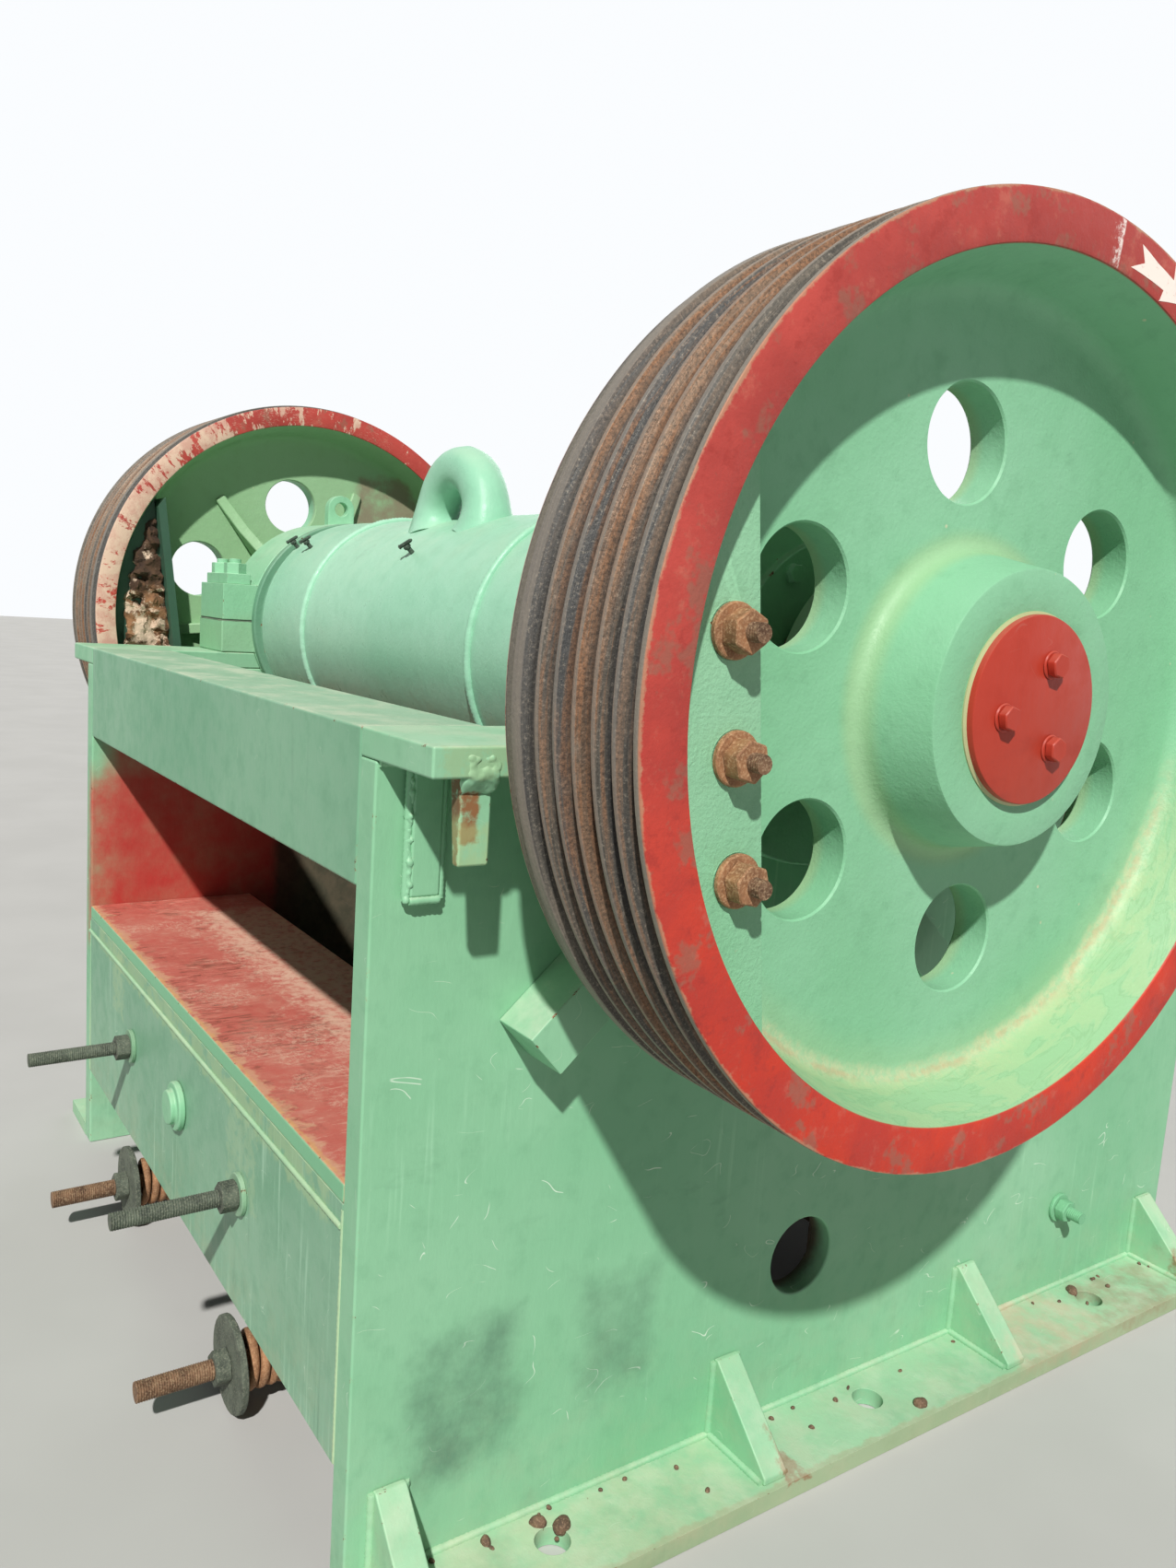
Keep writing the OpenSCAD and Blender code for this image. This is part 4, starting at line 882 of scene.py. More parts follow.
class ShapeTree:
    """A geometry node tree with named inputs, baked into plain meshes."""

    def __init__(self, name: str, sizes: dict[str, tuple[str, object]]) -> None:
        """Starts the tree.

        Args:
            name: The tree's name.
            sizes: Each input's name, with its socket type and starting value.
        """
        self.tree = bpy.data.node_groups.new(name, "GeometryNodeTree")
        face = self.tree.interface
        face.new_socket(name="Geometry", in_out="INPUT", socket_type="NodeSocketGeometry")
        for label, (kind, value) in sizes.items():
            made = face.new_socket(name=label, in_out="INPUT", socket_type=kind)
            if value is not None:
                made.default_value = value
        face.new_socket(name="Geometry", in_out="OUTPUT", socket_type="NodeSocketGeometry")
        self.start = self.tree.nodes.new("NodeGroupInput")
        self.end = self.tree.nodes.new("NodeGroupOutput")

    def node(self, kind: str, inputs: dict | None = None, **settings: object) -> bpy.types.Node:
        """Adds a node, with values or sockets by input name or number."""
        made = self.tree.nodes.new(kind)
        for key, value in settings.items():
            setattr(made, key, value)
        for key, value in (inputs or {}).items():
            if isinstance(value, Sock):
                self.tree.links.new(value, made.inputs[key])
            else:
                made.inputs[key].default_value = value
        return made

    def given(self, label: str) -> Sock:
        """The socket of a named input."""
        return self.start.outputs[label]

    def math(self, what: str, *terms: "float | Sock") -> Sock:
        """Does sums with values or sockets."""
        return self.node("ShaderNodeMath", dict(enumerate(terms)), operation=what).outputs[0]

    def finish(self, shape: Sock) -> None:
        """Ends the tree in Realize Instances and Set Material."""
        real = self.node("GeometryNodeRealizeInstances", {0: shape})
        coat = self.node("GeometryNodeSetMaterial", {0: real.outputs[0], "Material": self.given("Material")})
        self.tree.links.new(coat.outputs[0], self.end.inputs[0])

    def bake(self, name: str, source: bpy.types.Mesh | None, values: dict[str, object],
             angle: float = 35.0) -> bpy.types.Object:
        """Runs the tree on a mesh and keeps the result as a plain mesh.

        Args:
            name: The new piece's name.
            source: The mesh that the tree starts from, or None.
            values: Values of the named inputs.
            angle: Angle up to which the result is shaded smooth.

        Returns:
            The new piece.
        """
        piece = bpy.data.objects.new(name, source or bpy.data.meshes.new(name))
        bpy.context.scene.collection.objects.link(piece)
        run = piece.modifiers.new("shape", "NODES")
        run.node_group = self.tree
        for item in self.tree.interface.items_tree:
            if item.item_type == "SOCKET" and item.in_out == "INPUT" and item.name in values:
                run[item.identifier] = values[item.name]
        plain_mesh(piece)
        piece.data.materials.clear()
        piece.data.materials.append(values["Material"])
        smooth(piece.data, angle)
        return piece


def thread_tree() -> ShapeTree:
    """A threaded rod along Z, with a helical groove."""
    t = ShapeTree("threaded_rod", {
        "Length": ("NodeSocketFloat", 0.2), "Radius": ("NodeSocketFloat", 0.017),
        "Pitch": ("NodeSocketFloat", 0.004), "Depth": ("NodeSocketFloat", 0.0015),
        "Material": ("NodeSocketMaterial", None)})
    end = t.node("ShaderNodeCombineXYZ", {2: t.given("Length")})
    line = t.node("GeometryNodeCurvePrimitiveLine", {1: end.outputs[0]})
    fine = t.node("GeometryNodeResampleCurve", {0: line.outputs[0], "Length": t.math("DIVIDE", t.given("Pitch"), 5.0)},
                  mode="LENGTH")
    ring = t.node("GeometryNodeCurvePrimitiveCircle", {"Resolution": 20, "Radius": t.given("Radius")})
    rod = t.node("GeometryNodeCurveToMesh", {0: fine.outputs[0], 1: ring.outputs[0], "Fill Caps": True})
    split = t.node("ShaderNodeSeparateXYZ", {0: t.node("GeometryNodeInputPosition").outputs[0]})
    turn = t.math("DIVIDE", t.math("ARCTAN2", split.outputs[1], split.outputs[0]), 2 * math.pi)
    phase = t.math("ADD", t.math("DIVIDE", split.outputs[2], t.given("Pitch")), turn)
    groove = t.math("MULTIPLY", t.math("PINGPONG", phase, 0.5), 2.0)
    flat = t.node("ShaderNodeCombineXYZ", {0: split.outputs[0], 1: split.outputs[1]})
    out = t.node("ShaderNodeVectorMath", {0: flat.outputs[0]}, operation="NORMALIZE")
    depth = t.math("MULTIPLY", t.math("MULTIPLY", groove, t.given("Depth")), -1.0)
    move = t.node("ShaderNodeVectorMath", {0: out.outputs[0], "Scale": depth}, operation="SCALE")
    cut = t.node("GeometryNodeSetPosition", {0: rod.outputs[0], "Offset": move.outputs[0]})
    t.finish(cut.outputs[0])
    return t


def bead_tree() -> ShapeTree:
    """A rippled weld bead along the source mesh's edges."""
    t = ShapeTree("weld_bead", {
        "Radius": ("NodeSocketFloat", 0.006), "Ripple": ("NodeSocketFloat", 0.007),
        "Rough": ("NodeSocketFloat", 0.22), "Seed": ("NodeSocketFloat", 0.0),
        "Material": ("NodeSocketMaterial", None)})
    curve = t.node("GeometryNodeMeshToCurve", {0: t.given("Geometry")})
    fine = t.node("GeometryNodeResampleCurve", {0: curve.outputs[0],
                                                "Length": t.math("MULTIPLY", t.given("Ripple"), 0.5)}, mode="LENGTH")
    place = t.node("GeometryNodeInputPosition").outputs[0]
    wobble = t.node("ShaderNodeTexNoise", {"Vector": place, "W": t.given("Seed"), "Scale": 55.0, "Detail": 2.0},
                    noise_dimensions="4D")
    step = t.math("MODULO", t.node("GeometryNodeInputIndex").outputs[0], 2.0)
    rise = t.math("MULTIPLY", t.math("SUBTRACT", t.math("ADD", t.math("MULTIPLY", step, 0.35), wobble.outputs[0]), 0.7),
                  t.given("Rough"))
    swell = t.math("ADD", 1.0, t.math("MULTIPLY", rise, 2.0))
    ring = t.node("GeometryNodeCurvePrimitiveCircle", {"Resolution": 8, "Radius": t.given("Radius")})
    bead = t.node("GeometryNodeCurveToMesh", {0: fine.outputs[0], 1: ring.outputs[0], "Scale": swell,
                                              "Fill Caps": True})
    t.finish(bead.outputs[0])
    return t


def coil_tree() -> ShapeTree:
    """A coil spring along Z."""
    t = ShapeTree("coil_spring", {
        "Turns": ("NodeSocketFloat", 5.0), "Radius": ("NodeSocketFloat", 0.033),
        "Wire": ("NodeSocketFloat", 0.007), "Length": ("NodeSocketFloat", 0.09),
        "Material": ("NodeSocketMaterial", None)})
    wire = t.node("GeometryNodeCurveSpiral", {"Resolution": 28, "Rotations": t.given("Turns"),
                                              "Start Radius": t.given("Radius"), "End Radius": t.given("Radius"),
                                              "Height": t.given("Length")})
    ring = t.node("GeometryNodeCurvePrimitiveCircle", {"Resolution": 12, "Radius": t.given("Wire")})
    coil = t.node("GeometryNodeCurveToMesh", {0: wire.outputs[0], 1: ring.outputs[0], "Fill Caps": True})
    t.finish(coil.outputs[0])
    return t


def fastener_tree() -> ShapeTree:
    """A hexagon nut on a washer with a stud end, on each point of the source mesh and along +X."""
    t = ShapeTree("hexagon_fasteners", {
        "Flats": ("NodeSocketFloat", 0.040), "Height": ("NodeSocketFloat", 0.022),
        "Washer": ("NodeSocketFloat", 0.030), "Washer height": ("NodeSocketFloat", 0.006),
        "Stud": ("NodeSocketFloat", 0.012), "Stud rise": ("NodeSocketFloat", 0.010),
        "Seed": ("NodeSocketInt", 1), "Material": ("NodeSocketMaterial", None)})

    def upright(sides: int, radius: Sock, height: Sock, floor: "float | Sock") -> Sock:
        """A prism along Z from a floor, as a geometry socket."""
        made = t.node("GeometryNodeMeshCylinder", {"Vertices": sides, "Radius": radius, "Depth": height})
        up = t.node("ShaderNodeCombineXYZ", {2: t.math("ADD", t.math("MULTIPLY", height, 0.5), floor)})
        return t.node("GeometryNodeTransform", {0: made.outputs[0], "Translation": up.outputs[0]}).outputs[0]

    washer = upright(28, t.given("Washer"), t.given("Washer height"), 0.0)
    nut = upright(6, t.math("DIVIDE", t.given("Flats"), math.sqrt(3)), t.given("Height"), t.given("Washer height"))
    reach = t.math("ADD", t.given("Height"), t.math("ADD", t.given("Washer height"), t.given("Stud rise")))
    stud = upright(20, t.given("Stud"), reach, 0.0)
    whole = t.node("GeometryNodeJoinGeometry")
    for shape in (washer, nut, stud):
        t.tree.links.new(shape, whole.inputs[0])
    turn = t.node("FunctionNodeRandomValue", {"Max": 1.0, "Seed": t.given("Seed")}, data_type="FLOAT")
    spin = t.node("ShaderNodeCombineXYZ", {2: turn.outputs[1]})
    tilt = t.node("FunctionNodeRotateEuler", {"Rotation": (0.0, math.pi / 2, 0.0), "Rotate By": spin.outputs[0]},
                  space="LOCAL")
    where = t.node("GeometryNodeMeshToPoints", {0: t.given("Geometry")})
    put = t.node("GeometryNodeInstanceOnPoints", {"Points": where.outputs[0], "Instance": whole.outputs[0],
                                                  "Rotation": tilt.outputs[0]})
    t.finish(put.outputs[0])
    return t


def lump_tree() -> ShapeTree:
    """Rough lumps on each point of the source mesh."""
    t = ShapeTree("scrap_lumps", {
        "Size": ("NodeSocketFloat", 0.03), "Seed": ("NodeSocketInt", 3), "Material": ("NodeSocketMaterial", None)})
    ball = t.node("GeometryNodeMeshIcoSphere", {"Radius": 1.0, "Subdivisions": 3})
    size = t.node("FunctionNodeRandomValue", {"Min": (0.6, 0.6, 0.6), "Max": (1.3, 1.3, 1.3), "Seed": t.given("Seed")},
                  data_type="FLOAT_VECTOR")
    scale = t.node("ShaderNodeVectorMath", {0: size.outputs[0], "Scale": t.given("Size")}, operation="SCALE")
    turn = t.node("FunctionNodeRandomValue", {"Max": (6.2, 6.2, 6.2), "Seed": t.given("Seed")}, data_type="FLOAT_VECTOR")
    where = t.node("GeometryNodeMeshToPoints", {0: t.given("Geometry")})
    put = t.node("GeometryNodeInstanceOnPoints", {"Points": where.outputs[0], "Instance": ball.outputs[0],
                                                  "Rotation": turn.outputs[0], "Scale": scale.outputs[0]})
    real = t.node("GeometryNodeRealizeInstances", {0: put.outputs[0]})
    wave = t.node("ShaderNodeTexNoise", {"Scale": 42.0, "Detail": 3.0})
    push = t.node("ShaderNodeVectorMath", {0: wave.outputs["Color"], 1: (0.5, 0.5, 0.5)}, operation="SUBTRACT")
    move = t.node("ShaderNodeVectorMath", {0: push.outputs[0], "Scale": t.math("MULTIPLY", t.given("Size"), 1.1)},
                  operation="SCALE")
    rough = t.node("GeometryNodeSetPosition", {0: real.outputs[0], "Offset": move.outputs[0]})
    t.finish(rough.outputs[0])
    return t


@dataclass
class Trees:
    """The geometry node trees that the sub-assemblies share."""

    thread: ShapeTree = field(default_factory=thread_tree)
    bead: ShapeTree = field(default_factory=bead_tree)
    coil: ShapeTree = field(default_factory=coil_tree)
    fasteners: ShapeTree = field(default_factory=fastener_tree)
    lumps: ShapeTree = field(default_factory=lump_tree)

    def weld(self, name: str, paths: Sequence[Sequence[Vector]], finish: PaintFinish, radius: float = 6.0,
             ripple: float = 8.0) -> bpy.types.Object:
        """Lays weld beads along paths.

        Args:
            name: The piece's name.
            paths: Each bead's corner points.
            finish: The paint over the bead.
            radius: The bead's radius, in millimetres.
            ripple: Distance from one ripple to the next, in millimetres.

        Returns:
            The beads as one piece.
        """
        mesh = bpy.data.meshes.new(name)
        spots: list[Triple] = []
        links: list[tuple[int, int]] = []
        for path in paths:
            links += [(len(spots) + i, len(spots) + i + 1) for i in range(len(path) - 1)]
            spots += [tuple(p) for p in path]
        mesh.from_pydata(spots, links, [])
        return self.bead.bake(name, mesh, {"Radius": radius / 1000.0, "Ripple": ripple / 1000.0,
                                           "Material": SHOP.get(finish)}, 60.0)

    def nuts(self, name: str, places: Sequence[Vector], finish: RustFinish | PaintFinish, aim: Matrix | None = None,
             **sizes: float) -> bpy.types.Object:
        """Puts a nut with washer and stud end on each place.

        Args:
            name: The piece's name.
            places: Where the washers' undersides lie, in the machine's frame.
            finish: Their finish.
            aim: A turn that takes +X to the way that they point.
            sizes: Flats, Height, Washer, Washer_height, Stud and Stud_rise in millimetres.

        Returns:
            The fasteners as one piece, with chamfered edges.
        """
        turn = aim or Matrix.Identity(4)
        back = turn.inverted()
        values: dict[str, object] = {k.replace("_", " "): v / 1000.0 for k, v in sizes.items()}
        values["Material"] = SHOP.get(finish)
        piece = self.fasteners.bake(name, points_mesh(name, [back @ p for p in places]), values)
        piece.data.transform(turn)
        edge = piece.modifiers.new("chamfer", "BEVEL")
        edge.width = 0.0016
        edge.segments = 1
        edge.limit_method = "ANGLE"
        edge.angle_limit = math.radians(40)
        plain_mesh(piece)
        smooth(piece.data, 32.0)
        return piece


AIM: dict[str, Matrix] = {
    "+x": Matrix.Identity(4),
    "-x": Matrix.Rotation(math.pi, 4, "Z"),
    "+y": Matrix.Rotation(math.pi / 2, 4, "Z"),
    "-y": Matrix.Rotation(-math.pi / 2, 4, "Z"),
    "+z": Matrix.Rotation(-math.pi / 2, 4, "Y"),
}


# ---------------------------------------------------------------- sub-assemblies


@dataclass
class MainFrame:
    """Side plates, flanges, gussets, brackets and braces of the welded frame."""

    plate_out: float = 856.0
    plate_in: float = 806.0
    rear: float = -655.0
    front: float = 1380.0
    ground: float = -1345.0
    base_t: float = 32.0
    flange_low: float = -122.0
    gusset_places: tuple[float, ...] = (-590.0, 42.0, 674.0, 1306.0)
    gusset_t: float = 50.0
    gusset_h: float = 143.0

    def plates(self) -> None:
        """Rounds and paints the plates."""
        for side in Side:
            softened(f"side_plate_{side.word}", PLATE_PAINT, Body.FRAME, 4.0)
            softened(f"top_flange_{side.word}", FRAME_PAINT, Body.FRAME, 4.0)
            softened(f"base_flange_{side.word}", BASE_PAINT, Body.FRAME, 4.0)
            softened(f"base_gussets_{side.word}", BASE_PAINT, Body.FRAME, 3.0)
            softened(f"flange_brackets_{side.word}", FRAME_PAINT, Body.FRAME, 4.0)
            softened(f"bearing_braces_{side.word}", FRAME_PAINT, Body.FRAME, 5.0)

    def welds(self, trees: Trees) -> None:
        """Lays the beads where the plates meet."""
        top = self.ground + self.base_t
        for side in Side:
            s = side.value
            x = s * (self.plate_out + 1)
            paths = [[spot(x, self.rear + 5, top + 1), spot(x, self.front - 5, top + 1)],
                     [spot(x, self.rear + 5, self.flange_low - 1), spot(x, self.front - 5, self.flange_low - 1)]]
            for y in self.gusset_places:
                for edge in (-1, 1):
                    near = y + edge * (self.gusset_t / 2 + 1)
                    paths.append([spot(x, near, top + self.gusset_h - 4), spot(x, near, top + 2),
                                  spot(s * (self.plate_out + 140), near, top + 2)])
            beads = trees.weld(f"frame_beads_{side.word}", paths, BASE_PAINT, 7.0, 9.0)
            dress(beads, Body.FRAME, "base_paint")
            pad, leg, low = self.plate_out + 9, self.plate_out + 142, self.flange_low - 3
            thick = [[spot(s * pad, edge, low - 2), spot(s * pad, edge, low - 181)] for edge in (-610, -560)]
            thick.append([spot(s * (pad + 5), -607, low - 182), spot(s * (pad + 5), -563, low - 182)])
            beads = trees.weld(f"bracket_beads_{side.word}", thick, FRAME_PAINT, 6.0, 7.0)
            chance = Random(11)
            heap = []
            for i in range(70):
                slope = chance.uniform(0, 1)
                heap.append(spot(s * (leg - 2 + 13 * (1 - slope)), -607 + 44 * (i % 35) / 34, low + 4 - 19 * slope))
            heap += [spot(s * (leg + 14), chance.uniform(-607, -563), low + chance.uniform(2, 30)) for _ in range(40)]
            heap += [spot(s * (leg - 14 + chance.uniform(-16, 16)), chance.choice((-605, -565)), low + 1)
                     for _ in range(24)]
            heap += [spot(s * (pad + chance.uniform(-4, 6)), chance.uniform(-611, -606), low - 4 - 3.0 * i)
                     for i in range(60)]
            lumps = trees.lumps.bake(f"bracket_lumps_{side.word}", points_mesh("bracket_lumps", heap),
                                     {"Size": 0.0052, "Seed": 4, "Material": SHOP.get(FRAME_PAINT)}, 50)
            melt = lumps.modifiers.new("melt", "REMESH")
            melt.mode, melt.voxel_size = "VOXEL", 0.0028
            even = lumps.modifiers.new("even", "SMOOTH")
            even.factor, even.iterations = 0.5, 3
            plain_mesh(lumps)
            smooth(lumps.data, 60)
            dress(joined(f"bracket_welds_{side.word}", [beads, lumps]), Body.FRAME, "frame_paint")

    def side_stud(self, trees: Trees) -> None:
        """Makes the studs on the side plates with their threads."""
        parts = []
        for side in Side:
            s = side.value
            place = spot(s * self.plate_out, 978, -1122)
            aim = AIM["+x"] if s > 0 else AIM["-x"]
            parts.append(trees.nuts(f"side_nut_{side.word}", [place], PAINTED_NUT, aim, Flats=42, Height=22,
                                    Washer=31, Washer_height=8, Stud=11, Stud_rise=-3))
            rod = trees.thread.bake(f"side_thread_{side.word}", None, {
                "Length": 0.061, "Radius": 0.013, "Pitch": 0.004, "Depth": 0.0013, "Material": SHOP.get(PAINTED_NUT)})
            turn = Matrix.Rotation(s * math.pi / 2, 4, "Y")
            rod.data.transform(Matrix.Translation(place) @ turn)
            parts.append(rod)
        dress(joined("side_stud_set", parts), Body.FRAME, "rusty_steel", "side_studs")

    def clods(self, trees: Trees) -> None:
        """Leaves small clods of earth where the base meets the side plates."""
        chance = Random(7)
        parts = []
        for size, count, spread in ((0.0042, 34, 40), (0.0120, 5, 70)):
            places = []
            for side in Side:
                for _ in range(count):
                    out = min(abs(chance.gauss(0, spread)) + 6, 130)
                    places.append(spot(side.value * (self.plate_out + out), chance.uniform(-640, 1360),
                                       self.ground + self.base_t + 1))
            parts.append(trees.lumps.bake(f"clods_{count}", points_mesh(f"clod_places_{count}", places),
                                          {"Size": size, "Seed": count, "Material": SHOP.get(EARTH)}, 40))
        dress(joined("base_clods", parts), Body.FRAME, "base_paint")

    def build(self, trees: Trees) -> None:
        """Builds the whole frame."""
        self.plates()
        self.welds(trees)
        self.side_stud(trees)
        self.clods(trees)


@dataclass
class RearEnd:
    """Rear beam, lower wall, red shelf, boss and the adjusting and tension gear."""

    rear: float = -655.0
    tip: float = -867.0
    stud_x: float = 375.0
    stud_z: float = -935.0
    stud_r: float = 15.0
    rod_x: float = 365.0
    rod_z: float = -1256.0
    rod_r: float = 18.0
    rod_tip: float = -822.0
    disc_r: float = 84.0
    spring_r: float = 52.0
    spring_len: float = 90.0
    front_end: float = 378.0

    def plates(self) -> None:
        """Rounds and paints the plates."""
        softened("rear_top_beam", BEAM_PAINT, Body.FRAME, 5.0)
        softened("rear_lower_wall", WALL_PAINT, Body.FRAME, 4.0)
        softened("rear_shelf", SHELF_PAINT, Body.FRAME, 4.0)
        softened("rear_boss", FRAME_PAINT, Body.FRAME, 4.0)
        softened("toggle_block", SHADED_PARTS_PAINT, Body.FRAME, 5.0)
        softened("toggle_plate", SHADED_PARTS_PAINT, Body.FRAME, 5.0)

    def welds(self, trees: Trees) -> None:
        """Lays the beads along the shelf and the side plates."""
        x = 805.0
        low = [[spot(-x, self.rear - 1, -784), spot(x, self.rear - 1, -784)],
               [spot(-x, self.rear + 3, -760), spot(-x, self.rear + 3, -1148)],
               [spot(x, self.rear + 3, -760), spot(x, self.rear + 3, -1148)]]
        dress(trees.weld("shelf_beads", low, BEAD_PAINT, 4.5, 10.0), Body.FRAME, "frame_paint")

    def rod(self, trees: Trees, name: str, x: float, z: float, start: float, end: float, radius: float,
            finish: RustFinish) -> bpy.types.Object:
        """Makes a threaded rod along Y.

        Args:
            trees: The shared node trees.
            name: The rod's name.
            x: Where its axis lies along X, in millimetres.
            z: Where its axis lies along Z, in millimetres.
            start: Its front end, in millimetres.
            end: Its rear end, in millimetres.
            radius: The thread's radius, in millimetres.
            finish: The thread's finish.

        Returns:
            The rod.
        """
        made = trees.thread.bake(name, None, {"Length": (start - end) / 1000.0, "Radius": radius / 1000.0,
                                              "Pitch": 0.0042, "Depth": 0.0015, "Material": SHOP.get(finish)})
        made.data.transform(Matrix.Translation(spot(x, start, z)) @ Matrix.Rotation(math.pi / 2, 4, "X"))
        return made

    def adjusting(self, trees: Trees) -> None:
        """Makes the two adjusting studs with nuts and round washers."""
        parts = []
        for s in (-1, 1):
            x = s * self.stud_x
            parts.append(self.rod(trees, f"adjusting_rod_{s}", x, self.stud_z, self.rear + 48, self.tip, self.stud_r,
                                  OLD_THREAD))
            parts.append(trees.nuts(f"adjusting_washer_{s}", [spot(x, self.rear, self.stud_z)], NUT_GREEN,
                                    AIM["-y"], Flats=30, Height=3, Washer=37, Washer_height=9, Stud=13, Stud_rise=-3))
            parts.append(trees.nuts(f"adjusting_nut_{s}", [spot(x, self.rear - 8, self.stud_z)], OLD_THREAD,
                                    AIM["-y"], Flats=47, Height=27, Washer=24, Washer_height=2, Stud=13, Stud_rise=-3))
        dress(joined("adjusting_stud_set", parts), Body.FRAME, "rusty_steel", "adjusting_studs")

    def tension(self, trees: Trees) -> None:
        """Makes the tension rods with coil springs, round seats and nuts."""
        parts = []
        for s in (-1, 1):
            x = s * self.rod_x
            parts.append(self.rod(trees, f"tension_rod_{s}", x, self.rod_z, self.rear - 2, self.rod_tip, self.rod_r,
                                  THREAD_RUST))
            parts.append(trees.nuts(f"tension_bar_{s}", [spot(x, self.rear - 4, self.rod_z)], RUSTY, AIM["+y"],
                                    Flats=10, Height=2, Washer=self.rod_r - 1,
                                    Washer_height=self.front_end - self.rear, Stud=4, Stud_rise=0))
            coil = trees.coil.bake(f"tension_coil_{s}", None, {
                "Turns": 3.6, "Radius": (self.spring_r - 8.5) / 1000.0, "Wire": 0.0085,
                "Length": (self.spring_len - 19) / 1000.0, "Material": SHOP.get(RUSTY)})
            start = self.rear + self.spring_len - 9.5
            coil.data.transform(Matrix.Translation(spot(x, start, self.rod_z)) @ Matrix.Rotation(math.pi / 2, 4, "X"))
            parts.append(coil)
            parts.append(trees.nuts(f"tension_nut_{s}", [spot(x, self.rear, self.rod_z)], OLD_THREAD, AIM["-y"],
                                    Flats=54, Height=26, Washer=self.disc_r, Washer_height=12, Stud=16, Stud_rise=-3))
        dress(joined("tension_rod_set", parts), Body.FRAME, "rusty_steel", "tension_rods")

    def build(self, trees: Trees) -> None:
        """Builds the rear end."""
        self.plates()
        self.welds(trees)
        self.adjusting(trees)
        self.tension(trees)


@dataclass
class Chamber:
    """Front wall with its ribs, fixed jaw plate and cheek plates."""

    def build(self) -> None:
        """Rounds and paints the chamber's plates."""
        softened("front_wall", FRAME_PAINT, Body.FRAME, 5.0)
        softened("front_ribs", FRAME_PAINT, Body.FRAME, 4.0)
        steel = JawSteelFinish("jaw_steel")
        for node in ("fixed_jaw_plate", "cheek_plate_left", "cheek_plate_right", "moving_jaw_plate"):
            body = Body.JAW if node == "moving_jaw_plate" else Body.FRAME
            softened(node, steel, body, 5.0)


@dataclass
class Bearings:
    """Housings, caps with lugs, cap bolts and seal rings at both ends of the barrel."""

    housing_in: float = 806.0
    housing_out: float = 1000.0
    cover_t: float = 14.0
    pad_y: float = 300.0
    pad_top: float = 118.0
    bolt_x: tuple[float, float] = (851.0, 955.0)
    cover_bolt_r: float = 192.0

    def castings(self) -> None:
        """Rounds and paints the castings."""
        for side in Side:
            softened(f"bearing_housing_{side.word}", BEARING_PAINT, Body.FRAME, 4.0)
            softened(f"bearing_cap_{side.word}", BEARING_PAINT, Body.FRAME, 6.0)
            softened(f"seal_ring_{side.word}", SEAL_SHADE_PAINT, Body.FRAME, 5.0)

    def bolts(self, trees: Trees) -> None:
        """Makes the cap bolts on their pads and the small bolts of the end covers."""
        for side in Side:
            s = side.value
            softened(f"cap_bolts_{side.word}", BEARING_PAINT, Body.FRAME, 3.0)
            spots = []
            for k in range(5):
                turn = math.radians(18 + 36 * k)
                spots.append(spot(s * (self.housing_out + self.cover_t), self.cover_bolt_r * math.cos(turn),
                                  self.cover_bolt_r * math.sin(turn)))
            small = trees.nuts(f"cover_bolts_{side.word}", spots, BEARING_PAINT, AIM["+x" if s > 0 else "-x"],
                               Flats=24, Height=10, Washer=14, Washer_height=2, Stud=6, Stud_rise=-3)
            dress(small, Body.FRAME, "bolt_paint")

    def build(self, trees: Trees) -> None:
        """Builds both bearings."""
        self.castings()
        self.bolts(trees)


